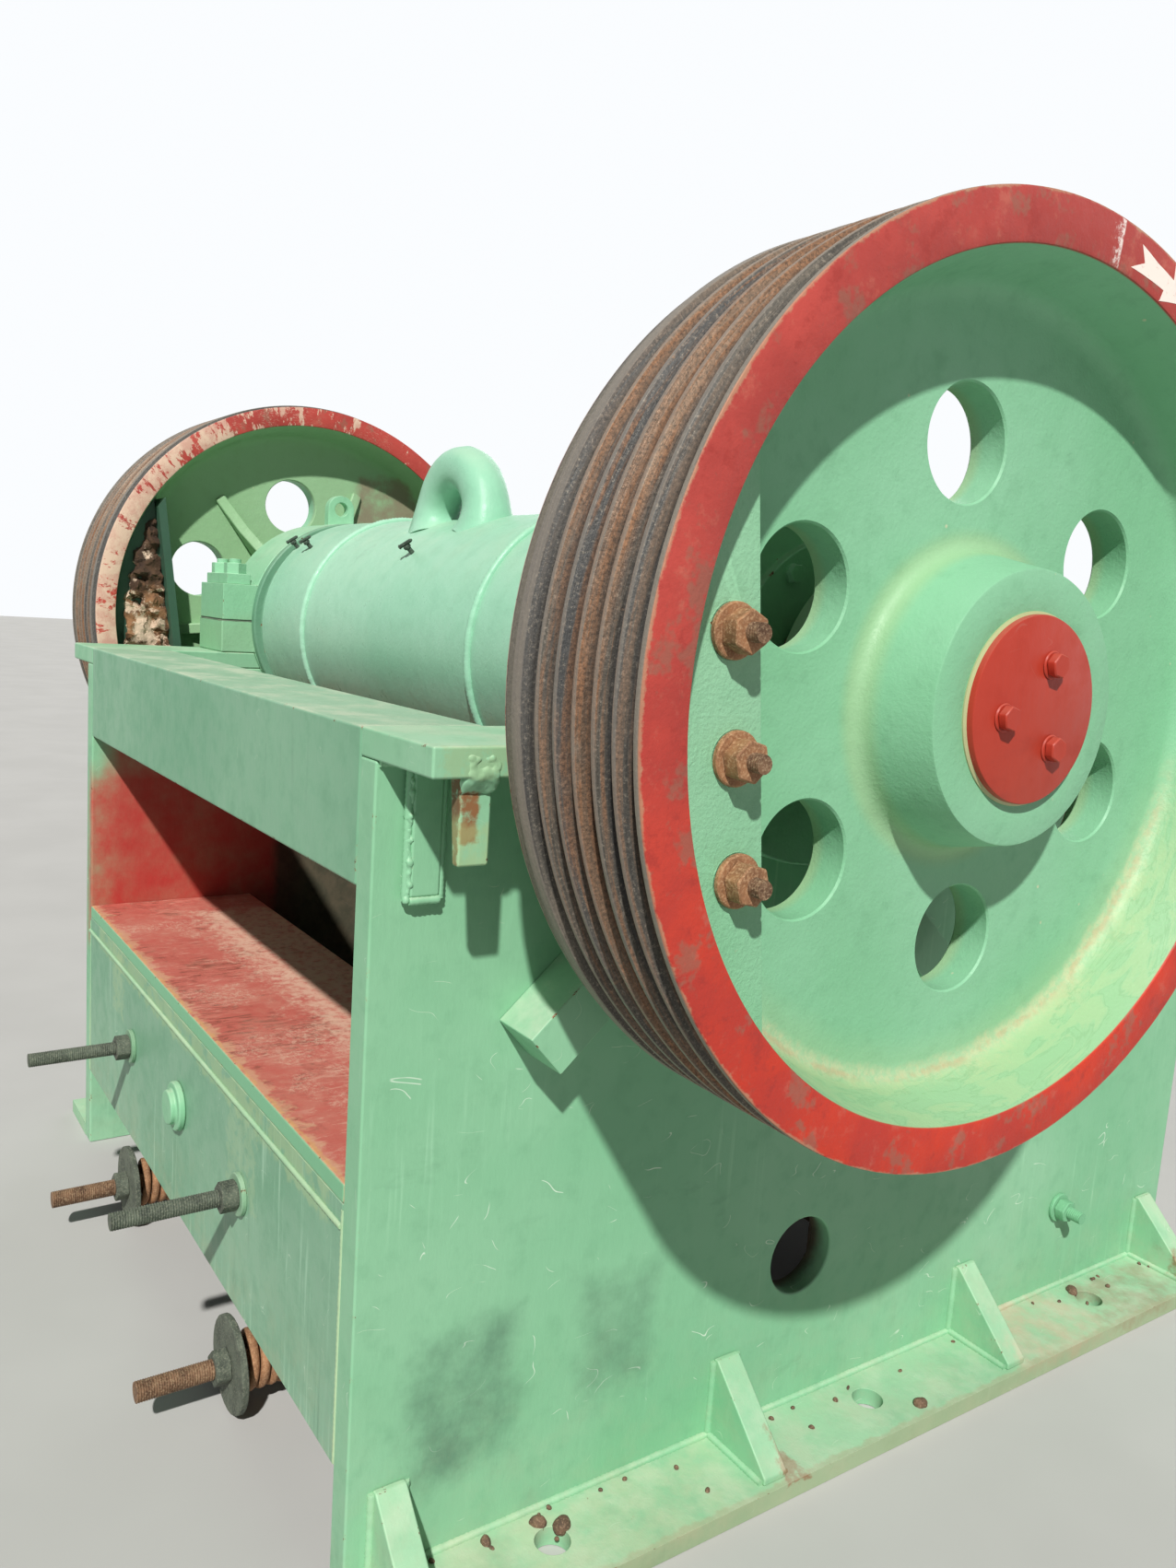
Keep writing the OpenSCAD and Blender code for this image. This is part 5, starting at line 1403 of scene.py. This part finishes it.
@dataclass
class Flywheel:
    """One grooved flywheel with its ribs, holes, balance weight and end cap."""

    side: Side
    crumb_seed: int = 5
    rim_r: float = 600.0
    face: float = 1338.0
    back: float = 1067.0
    rim_in_face: float = 539.0
    rim_in_back: float = 544.0
    web_out: float = 1232.0
    web_in: float = 1173.0
    hub_r: float = 195.0
    hub_face_r: float = 173.0
    hub_face: float = 1333.0
    hub_back: float = 1073.0
    bore: float = 110.3
    hole_r: float = 74.4
    hole_ring: float = 327.0
    turn: float = 6.9
    groove_pitch: float = 37.0
    groove_w: float = 30.0
    groove_depth: float = 26.0
    groove_first: float = 1312.0
    rib_t: float = 30.0
    rib_reach: float = 412.0
    chord: float = 400.0
    weight_t: float = 58.0
    cap_r: float = 118.0

    @property
    def sign(self) -> int:
        """The side's sign of X."""
        return self.side.value

    @staticmethod
    def fillet(corner: tuple[float, float], before: tuple[float, float], after: tuple[float, float], size: float,
               steps: int = 5) -> list[tuple[float, float]]:
        """Rounds an outline's corner.

        Args:
            corner: The corner.
            before: The point before it.
            after: The point after it.
            size: Distance from the corner at which the rounding starts.
            steps: Number of steps on the rounding.

        Returns:
            The points that take the corner's place.
        """
        c = Vector(corner)
        a = c + (Vector(before) - c).normalized() * size
        b = c + (Vector(after) - c).normalized() * size
        return [tuple(a.lerp(c, t).lerp(c.lerp(b, t), t)) for t in (i / steps for i in range(steps + 1))]

    def outline(self) -> list[tuple[float, float]]:
        """The wheel's section as radius and place along X, with rounded corners."""
        raw: list[tuple[float, float, float]] = [
            (self.bore, self.hub_back, 2), (self.hub_r - 12, self.hub_back, 6), (self.hub_r - 2, self.web_in, 22),
            (520.0, self.web_in, 26), (self.rim_in_back, self.back, 4), (self.rim_r - 6, self.back, 3),
            (self.rim_r - 6, self.back + 25, 2), (self.rim_r, self.back + 25, 2)]
        floor = self.groove_w / 2 - self.groove_depth * math.tan(math.radians(19))
        for i in range(5, -1, -1):
            x = self.groove_first - i * self.groove_pitch
            raw += [(self.rim_r, x - self.groove_w / 2, 2.2), (self.rim_r - self.groove_depth, x - floor, 1.5),
                    (self.rim_r - self.groove_depth, x + floor, 1.5), (self.rim_r, x + self.groove_w / 2, 2.2)]
        raw += [(self.rim_r, self.face, 4.5), (self.rim_in_face, self.face, 4), (515.0, self.web_out, 26),
                (self.hub_r, self.web_out, 20), (self.hub_face_r, self.hub_face, 3), (self.bore, self.hub_face, 2)]
        points: list[tuple[float, float]] = []
        for i, (r, x, size) in enumerate(raw):
            before, after = raw[i - 1][:2], raw[(i + 1) % len(raw)][:2]
            points += self.fillet((r, x), before, after, size, 5 if size > 10 else 2)
        return [(r, self.sign * x) for r, x in points]

    def local(self, along: float, across: float, up: float) -> Vector:
        """A place in the wheel's own turned frame, in millimetres from the shaft."""
        t = math.radians(self.turn)
        y = across * math.cos(t) - up * math.sin(t)
        z = across * math.sin(t) + up * math.cos(t)
        return spot(self.sign * along, y, z)

    def cutters(self) -> bpy.types.Object:
        """Six round cutters that flare at the web's faces."""
        section = [(0.0, self.web_in - 20), (self.hole_r + 24, self.web_in - 20), (self.hole_r + 3, self.web_in - 1),
                   (self.hole_r, self.web_in + 3), (self.hole_r, self.web_out - 3), (self.hole_r + 3, self.web_out + 1),
                   (self.hole_r + 24, self.web_out + 20), (0.0, self.web_out + 20)]
        parts = []
        for k in range(6):
            cut = revolved(f"hole_{k}", [(r, self.sign * x) for r, x in section], 72)
            centre = self.local(0, 0, self.hole_ring)
            away = Matrix.Rotation(math.radians(60 * k), 4, "X") @ (centre - AXLE)
            cut.data.transform(Matrix.Translation(away))
            parts.append(cut)
        return joined("hole_cutters", parts)

    def ribs(self, material: bpy.types.Material) -> list[bpy.types.Object]:
        """The radial ribs on the side that faces the machine."""
        made = []
        for k in range(6):
            angle = math.radians(60 * k + 30 + self.turn)
            outward = Vector((0, -math.sin(angle), math.cos(angle)))
            across = Vector((0, math.cos(angle), math.sin(angle)))
            end = self.chord - 20 if k == 1 else self.rib_reach
            profile = [(self.hub_r - 16, self.back + 12), (self.hub_r + 5, self.back + 12),
                       ((self.hub_r + self.rib_reach) / 2 + 6, self.web_in - 30), (end, self.web_in - 9),
                       (end, self.web_in + 2), (self.hub_r - 6, self.web_in + 2)]
            work = bmesh.new()
            rings = []
            for half in (-self.rib_t / 2, self.rib_t / 2):
                ring = [work.verts.new(AXLE + (Vector((self.sign * x, 0, 0)) + outward * r + across * half) / 1000.0)
                        for r, x in profile]
                rings.append(ring)
                work.faces.new(ring)
            for i in range(len(profile)):
                j = (i + 1) % len(profile)
                work.faces.new([rings[0][i], rings[0][j], rings[1][j], rings[1][i]])
            bmesh.ops.recalc_face_normals(work, faces=work.faces)
            mesh = bpy.data.meshes.new("rib")
            work.to_mesh(mesh)
            work.free()
            smooth(mesh)
            rib = new_piece(f"rib_{k}", mesh, material)
            edge = rib.modifiers.new("round", "BEVEL")
            edge.width, edge.segments, edge.harden_normals = 0.005, 3, True
            made.append(plain_mesh(rib))
        return made

    def wheel(self) -> None:
        """Builds the wheel: the turned section, its holes and its ribs."""
        material = SHOP.get(FlywheelFinish("flywheel_iron"))
        wheel = revolved(f"wheel_{self.side.word}", self.outline(), 240, material)
        cutter = self.cutters()
        hole = wheel.modifiers.new("holes", "BOOLEAN")
        hole.operation, hole.solver, hole.object = "DIFFERENCE", "EXACT", cutter
        plain_mesh(wheel)
        smooth(wheel.data, 32)
        bpy.data.objects.remove(cutter)
        whole = joined(f"grooved_wheel_{self.side.word}", [wheel, *self.ribs(material)])
        dress(whole, Body.ROTOR, "wheel_paint", f"flywheel_{self.side.word}")

    def weight(self, trees: Trees) -> None:
        """Dresses the outer balance weight with its plate, three studs, nuts and washers."""
        finish = WEIGHT_PAINT
        plate = softened(f"balance_weight_{self.side.word}", finish, Body.ROTOR, 3.0)
        work = bmesh.new()
        work.from_mesh(plate.data)
        limit = (self.web_out + self.weight_t + 1.0) / 1000.0
        loose = [v for v in work.verts if abs(v.co.x) > limit]
        bmesh.ops.delete(work, geom=loose, context="VERTS")
        edges = [e for e in work.edges if e.is_boundary]
        if edges:
            bmesh.ops.holes_fill(work, edges=edges, sides=0)
        work.to_mesh(plate.data)
        work.free()
        aim = AIM["+x" if self.sign > 0 else "-x"]
        top = self.web_out + self.weight_t
        places = [self.local(top, -self.chord - 39, k * 137.0 - 8) for k in (-1, 0, 1)]
        parts = [trees.nuts(f"weight_nuts_{self.side.word}", places, RUSTY, aim, Flats=43, Height=24, Washer=31,
                            Washer_height=8, Stud=10, Stud_rise=-3)]
        for i, place in enumerate(places):
            rod = trees.thread.bake(f"weight_rod_{i}", None, {"Length": 0.050, "Radius": 0.011, "Pitch": 0.0038,
                                                             "Depth": 0.0012, "Material": SHOP.get(THREAD_RUST)})
            rod.data.transform(Matrix.Translation(place) @ Matrix.Rotation(self.sign * math.pi / 2, 4, "Y"))
            parts.append(rod)
        dress(joined(f"weight_studs_{self.side.word}", parts), Body.ROTOR, "weight_paint")

    def pocket(self, trees: Trees) -> None:
        """Fills the inner pocket with one crumbly rusty mass behind its straight wall."""
        # the pocket wall's dark coat is painted shade
        softened(f"balance_pocket_{self.side.word}", POCKET_WALL_SHADE_PAINT, Body.ROTOR, 2.0)
        places = []
        for row in range(-13, 14):
            for col in range(5):
                up = row * 24.0 + (col % 2) * 12
                across = -self.chord - 14 - col * 21.0
                if math.hypot(across, up) < 509:
                    depth = 50 + ((row * 7 + col * 11) % 9) * 3.2
                    places += [self.local(self.web_in - d, across, up) for d in (18, 36, depth)]
        lumps = trees.lumps.bake(f"scrap_{self.side.word}", points_mesh("scrap", places),
                                 {"Size": 0.017, "Seed": 5, "Material": SHOP.get(ScrapFinish("scrap"))}, 60)
        crumb = lumps.modifiers.new("crumb", "REMESH")
        crumb.mode, crumb.voxel_size = "VOXEL", 0.0055
        plain_mesh(lumps)
        noise.seed_set(self.crumb_seed)
        for vertex in lumps.data.vertices:
            vertex.co += noise.noise_vector(vertex.co * 38) * 0.0080 + noise.noise_vector(vertex.co * 130) * 0.0035
        smooth(lumps.data, 30)
        dress(lumps, Body.ROTOR, "balance_cast")

    def cap(self, trees: Trees) -> None:
        """Builds the red end cap with its three bolts."""
        face = self.hub_face + 13
        disc = revolved(f"cap_disc_{self.side.word}", [(r, self.sign * x) for r, x in (
            (0.0, self.hub_face), (self.cap_r, self.hub_face), (self.cap_r, face - 3), (self.cap_r - 1, face - 0.8),
            (self.cap_r - 3, face), (0.0, face))], 120, SHOP.get(CAP_PAINT))
        places = []
        for k in range(3):
            turn = math.radians(68.5 + 120 * k)
            places.append(spot(self.sign * face, 61 * math.cos(turn), 61 * math.sin(turn)))
        edge = revolved(f"cap_edge_{self.side.word}", [(r, self.sign * x) for r, x in (
            (self.cap_r - 1, self.hub_face - 1), (self.cap_r + 3.5, self.hub_face - 1),
            (self.cap_r + 3.5, self.hub_face + 2), (self.cap_r - 1, self.hub_face + 5))], 120, SHOP.get(CAP_EDGE))
        heads = trees.nuts(f"cap_heads_{self.side.word}", places, CAP_PAINT, AIM["+x" if self.sign > 0 else "-x"],
                           Flats=28, Height=12, Washer=18, Washer_height=3, Stud=8, Stud_rise=-3)
        dress(joined(f"shaft_cap_{self.side.word}", [disc, edge, heads]), Body.ROTOR, "cap_red", f"end_cap_{self.side.word}")

    def arrow(self) -> None:
        """Paints the arrow that shows which way the wheel turns, on the outer rim face."""
        shape = [(584, 78.9), (566, 77.6), (551, 80.2), (553, 76.5), (556, 72.4), (541, 72.6), (569, 66.2),
                 (596, 71.6), (577, 71.0), (578, 75.0)]
        ring = []
        for i, (r, a) in enumerate(shape):
            r2, a2 = shape[(i + 1) % len(shape)]
            ring += [(r + (r2 - r) * t, a + (a2 - a) * t) for t in (0, 0.25, 0.5, 0.75)]
        work = bmesh.new()
        layers = []
        for x in (self.face - 0.5, self.face + 0.35):
            verts = [work.verts.new(spot(self.sign * x, r * math.cos(math.radians(a)), r * math.sin(math.radians(a))))
                     for r, a in ring]
            layers.append(verts)
            work.faces.new(verts)
        count = len(ring)
        for i in range(count):
            j = (i + 1) % count
            work.faces.new([layers[0][i], layers[0][j], layers[1][j], layers[1][i]])
        bmesh.ops.recalc_face_normals(work, faces=work.faces)
        bmesh.ops.triangulate(work, faces=[f for f in work.faces if len(f.verts) > 4])
        mesh = bpy.data.meshes.new("arrow")
        work.to_mesh(mesh)
        work.free()
        dress(new_piece(f"turning_arrow_{self.side.word}", mesh, SHOP.get(ChalkFinish("chalk"))), Body.ROTOR,
              "wheel_paint")

    def build(self, trees: Trees) -> None:
        """Builds all that turns on this side."""
        self.wheel()
        self.weight(trees)
        self.pocket(trees)
        self.cap(trees)
        if self.side is Side.RIGHT:
            self.arrow()


@dataclass
class SwingJaw:
    """The barrel with its bead and plugs, the jaw below it and the lifting eye."""

    barrel_r: float = 266.0
    shift: float = -18.0
    bead_x: float = 400.0
    plug_places: tuple[Triple, ...] = ((-668.0, -202.0, 192.0), (-576.0, -203.0, 191.0), (19.0, -217.0, 177.0),
                                       (-640.0, 120.0, 228.0), (-576.0, 120.0, 228.0))
    eye_r: float = 153.0
    eye_hole: float = 62.0
    eye_z: float = 248.0
    eye_y: float = -100.0

    def body(self) -> None:
        """Rounds and paints the jaw casting."""
        softened("swing_jaw", BARREL_PAINT, Body.JAW, 5.0)
        softened("jaw_ribs", SHADED_PARTS_PAINT, Body.JAW, 4.0)
        softened("toggle_seat", SHADED_PARTS_PAINT, Body.JAW, 5.0)

    def bead(self, trees: Trees) -> None:
        """Lays the welded seams round the barrel."""
        paths = []
        for s in (-1, 1):
            ring = [spot(s * self.bead_x, self.shift + (self.barrel_r + 1) * math.cos(t), (self.barrel_r + 1) * math.sin(t))
                    for t in (math.radians(-20 + 3 * k) for k in range(85))]
            paths.append(ring)
        dress(trees.weld("barrel_beads", paths, BARREL_PAINT, 8.0, 8.0), Body.JAW, "jaw_paint")

    def eye(self) -> None:
        """Builds the cast lifting eye with a rounded, swelling section."""
        mid = (self.eye_r + self.eye_hole) / 2
        half = (self.eye_r - self.eye_hole) / 2
        work = bmesh.new()
        rings = []
        steps, sides = 64, 28
        for k in range(steps + 1):
            turn = math.radians(-14 + 208 * k / steps)
            foot = max(0.0, 1 - min(k, steps - k) / 13.0)
            deep = 45.5 + 20 * foot * foot
            ring = []
            for j in range(sides):
                a = 2 * math.pi * j / sides
                r = mid + half * math.copysign(abs(math.cos(a)) ** 0.82, math.cos(a)) * (1 + 0.35 * foot * foot)
                y = deep * math.copysign(abs(math.sin(a)) ** 0.9, math.sin(a))
                seam = 1.6 * math.exp(-((math.sin(a)) / 0.10) ** 2)
                r += seam if math.cos(a) > 0 else 0
                ring.append(work.verts.new(spot(r * math.cos(turn), self.eye_y + y, self.eye_z + r * math.sin(turn))))
            rings.append(ring)
        for first, second in zip(rings, rings[1:]):
            for j in range(sides):
                i = (j + 1) % sides
                work.faces.new([first[j], first[i], second[i], second[j]])
        work.faces.new(rings[0])
        work.faces.new(rings[-1])
        bmesh.ops.recalc_face_normals(work, faces=work.faces)
        mesh = bpy.data.meshes.new("eye")
        work.to_mesh(mesh)
        work.free()
        smooth(mesh, 50)
        dress(new_piece("cast_lifting_eye", mesh, SHOP.get(BARREL_PAINT)), Body.JAW, "jaw_paint", "lifting_eye")

    def plugs(self, trees: Trees) -> None:
        """Makes the small grease plugs on the barrel."""
        parts = []
        for x, y, z in self.plug_places:
            out = Vector((0, y - self.shift, z)).normalized()
            foot = Vector((x, self.shift, 0)) + out * (self.barrel_r - 2)
            stem = trees.nuts(f"plug_{x:.0f}", [Vector((0, 0, 0))], DARK_PLUG, None, Flats=15, Height=8, Washer=5,
                              Washer_height=15, Stud=4, Stud_rise=1)
            bar = trees.nuts(f"plug_bar_{x:.0f}", [Vector((-0.015, 0, 0))], DARK_PLUG, None, Flats=8, Height=28,
                             Washer=5, Washer_height=3, Stud=3, Stud_rise=3)
            bar.data.transform(Matrix.Translation((0.026, 0, 0)) @ Matrix.Rotation(math.pi / 2, 4, "Z"))
            plug = joined(f"plug_set_{x:.0f}", [stem, bar])
            turn = Vector((1, 0, 0)).rotation_difference(out).to_matrix().to_4x4()
            plug.data.transform(Matrix.Translation(spot(*foot)) @ turn)
            parts.append(plug)
        dress(joined("grease_plugs", parts), Body.JAW, "jaw_paint")

    def build(self, trees: Trees) -> None:
        """Builds all that swings."""
        self.body()
        self.bead(trees)
        self.eye()
        self.plugs(trees)


@dataclass
class Studio:
    """Camera at the photograph's place, soft lights and a pale floor."""

    place: Triple = (2254.4, -1284.4, 87.2)
    azimuth: float = 55.54
    elevation: float = 8.31
    roll: float = 3.82
    lens: float = 27.383
    sun: Triple = (0.58, -0.44, 0.69)
    fill: Triple = (-0.55, 0.80, 0.22)

    def camera(self) -> None:
        """Sets the camera where the photograph was taken from."""
        a, e, r = (math.radians(v) for v in (self.azimuth, self.elevation, self.roll))
        back = Vector((math.sin(a) * math.cos(e), -math.cos(a) * math.cos(e), math.sin(e)))
        right = (-back).cross(Vector((0, 0, 1))).normalized()
        up = right.cross(-back)
        level = math.cos(r) * right + math.sin(r) * up
        upright = -math.sin(r) * right + math.cos(r) * up
        data = bpy.data.cameras.new("view")
        data.sensor_width = 36.0
        data.lens = self.lens
        data.clip_end = 200.0
        camera = bpy.data.objects.new("view", data)
        turn = Matrix((level, upright, back)).transposed().to_4x4()
        camera.matrix_world = Matrix.Translation(spot(*self.place)) @ turn
        bpy.context.scene.collection.objects.link(camera)
        bpy.context.scene.camera = camera

    def hang(self, name: str, data: bpy.types.Light, toward: tuple[float, float, float]) -> None:
        """Adds a lamp that shines from the given direction."""
        lamp = bpy.data.objects.new(name, data)
        lamp.rotation_mode = "QUATERNION"
        lamp.rotation_quaternion = Vector(toward).to_track_quat("Z", "Y")
        bpy.context.scene.collection.objects.link(lamp)

    def lights(self) -> None:
        """Adds the key light, a weak wide one for the far sides and an even pale surround."""
        data = bpy.data.lights.new("key", "SUN")
        data.energy = 4.6
        data.angle = math.radians(1.6)
        data.color = (1.0, 0.975, 0.93)
        self.hang("key", data, self.sun)
        soft = bpy.data.lights.new("fill", "SUN")
        soft.energy = 1.1
        soft.angle = math.radians(50)
        soft.color = (0.97, 0.98, 1.0)
        self.hang("fill", soft, self.fill)
        world = bpy.data.worlds.new("surround")
        bpy.context.scene.world = world
        world.use_nodes = True
        tree = world.node_tree
        tree.nodes.clear()
        path = tree.nodes.new("ShaderNodeLightPath")
        seen = path.outputs["Is Camera Ray"]
        for kind in ("Is Glossy Ray", "Is Transmission Ray"):
            either = tree.nodes.new("ShaderNodeMath")
            either.operation = "MAXIMUM"
            tree.links.new(seen, either.inputs[0])
            tree.links.new(path.outputs[kind], either.inputs[1])
            seen = either.outputs[0]
        level = tree.nodes.new("ShaderNodeMapRange")
        level.inputs[3].default_value = 0.12
        level.inputs[4].default_value = 1.0
        tree.links.new(seen, level.inputs[0])
        back = tree.nodes.new("ShaderNodeBackground")
        tree.links.new(level.outputs[0], back.inputs[1])
        back.inputs[0].default_value = (0.96, 0.98, 1.0, 1.0)
        out = tree.nodes.new("ShaderNodeOutputWorld")
        tree.links.new(back.outputs[0], out.inputs[0])

    def floor(self) -> None:
        """Lays the plain pale floor."""
        mesh = bpy.data.meshes.new("floor")
        w = 40.0
        mesh.from_pydata([(-w, -w, -0.0008), (w, -w, -0.0008), (w, w, -0.0008), (-w, w, -0.0008)], [], [(0, 1, 2, 3)])
        g = Graph("floor_pale")
        colour = g.mix(g.window(g.noise(0.6, 3), 0.3, 0.7), (0.44, 0.44, 0.43), (0.47, 0.47, 0.46))
        piece = new_piece("floor", mesh, g.surface(colour, 0.9))

    def build(self) -> None:
        """Sets up the whole studio."""
        self.camera()
        self.lights()
        self.floor()


def main() -> None:
    """Builds and dresses the machine in order."""
    logging.basicConfig(level=logging.INFO, format="%(name)s: %(message)s")
    bpy.context.scene.view_settings.view_transform = "Standard"
    Studio().build()
    trees = Trees()
    MainFrame().build(trees)
    RearEnd().build(trees)
    Chamber().build()
    Bearings().build(trees)
    shaft = frame["nodes"]["shaft"]
    shaft.data.materials.clear()
    shaft.data.materials.append(SHOP.get(ShaftFinish("shaft_film")))
    for side in Side:
        Flywheel(side).build(trees)
    SwingJaw().build(trees)


if __name__ == "__main__":
    main()
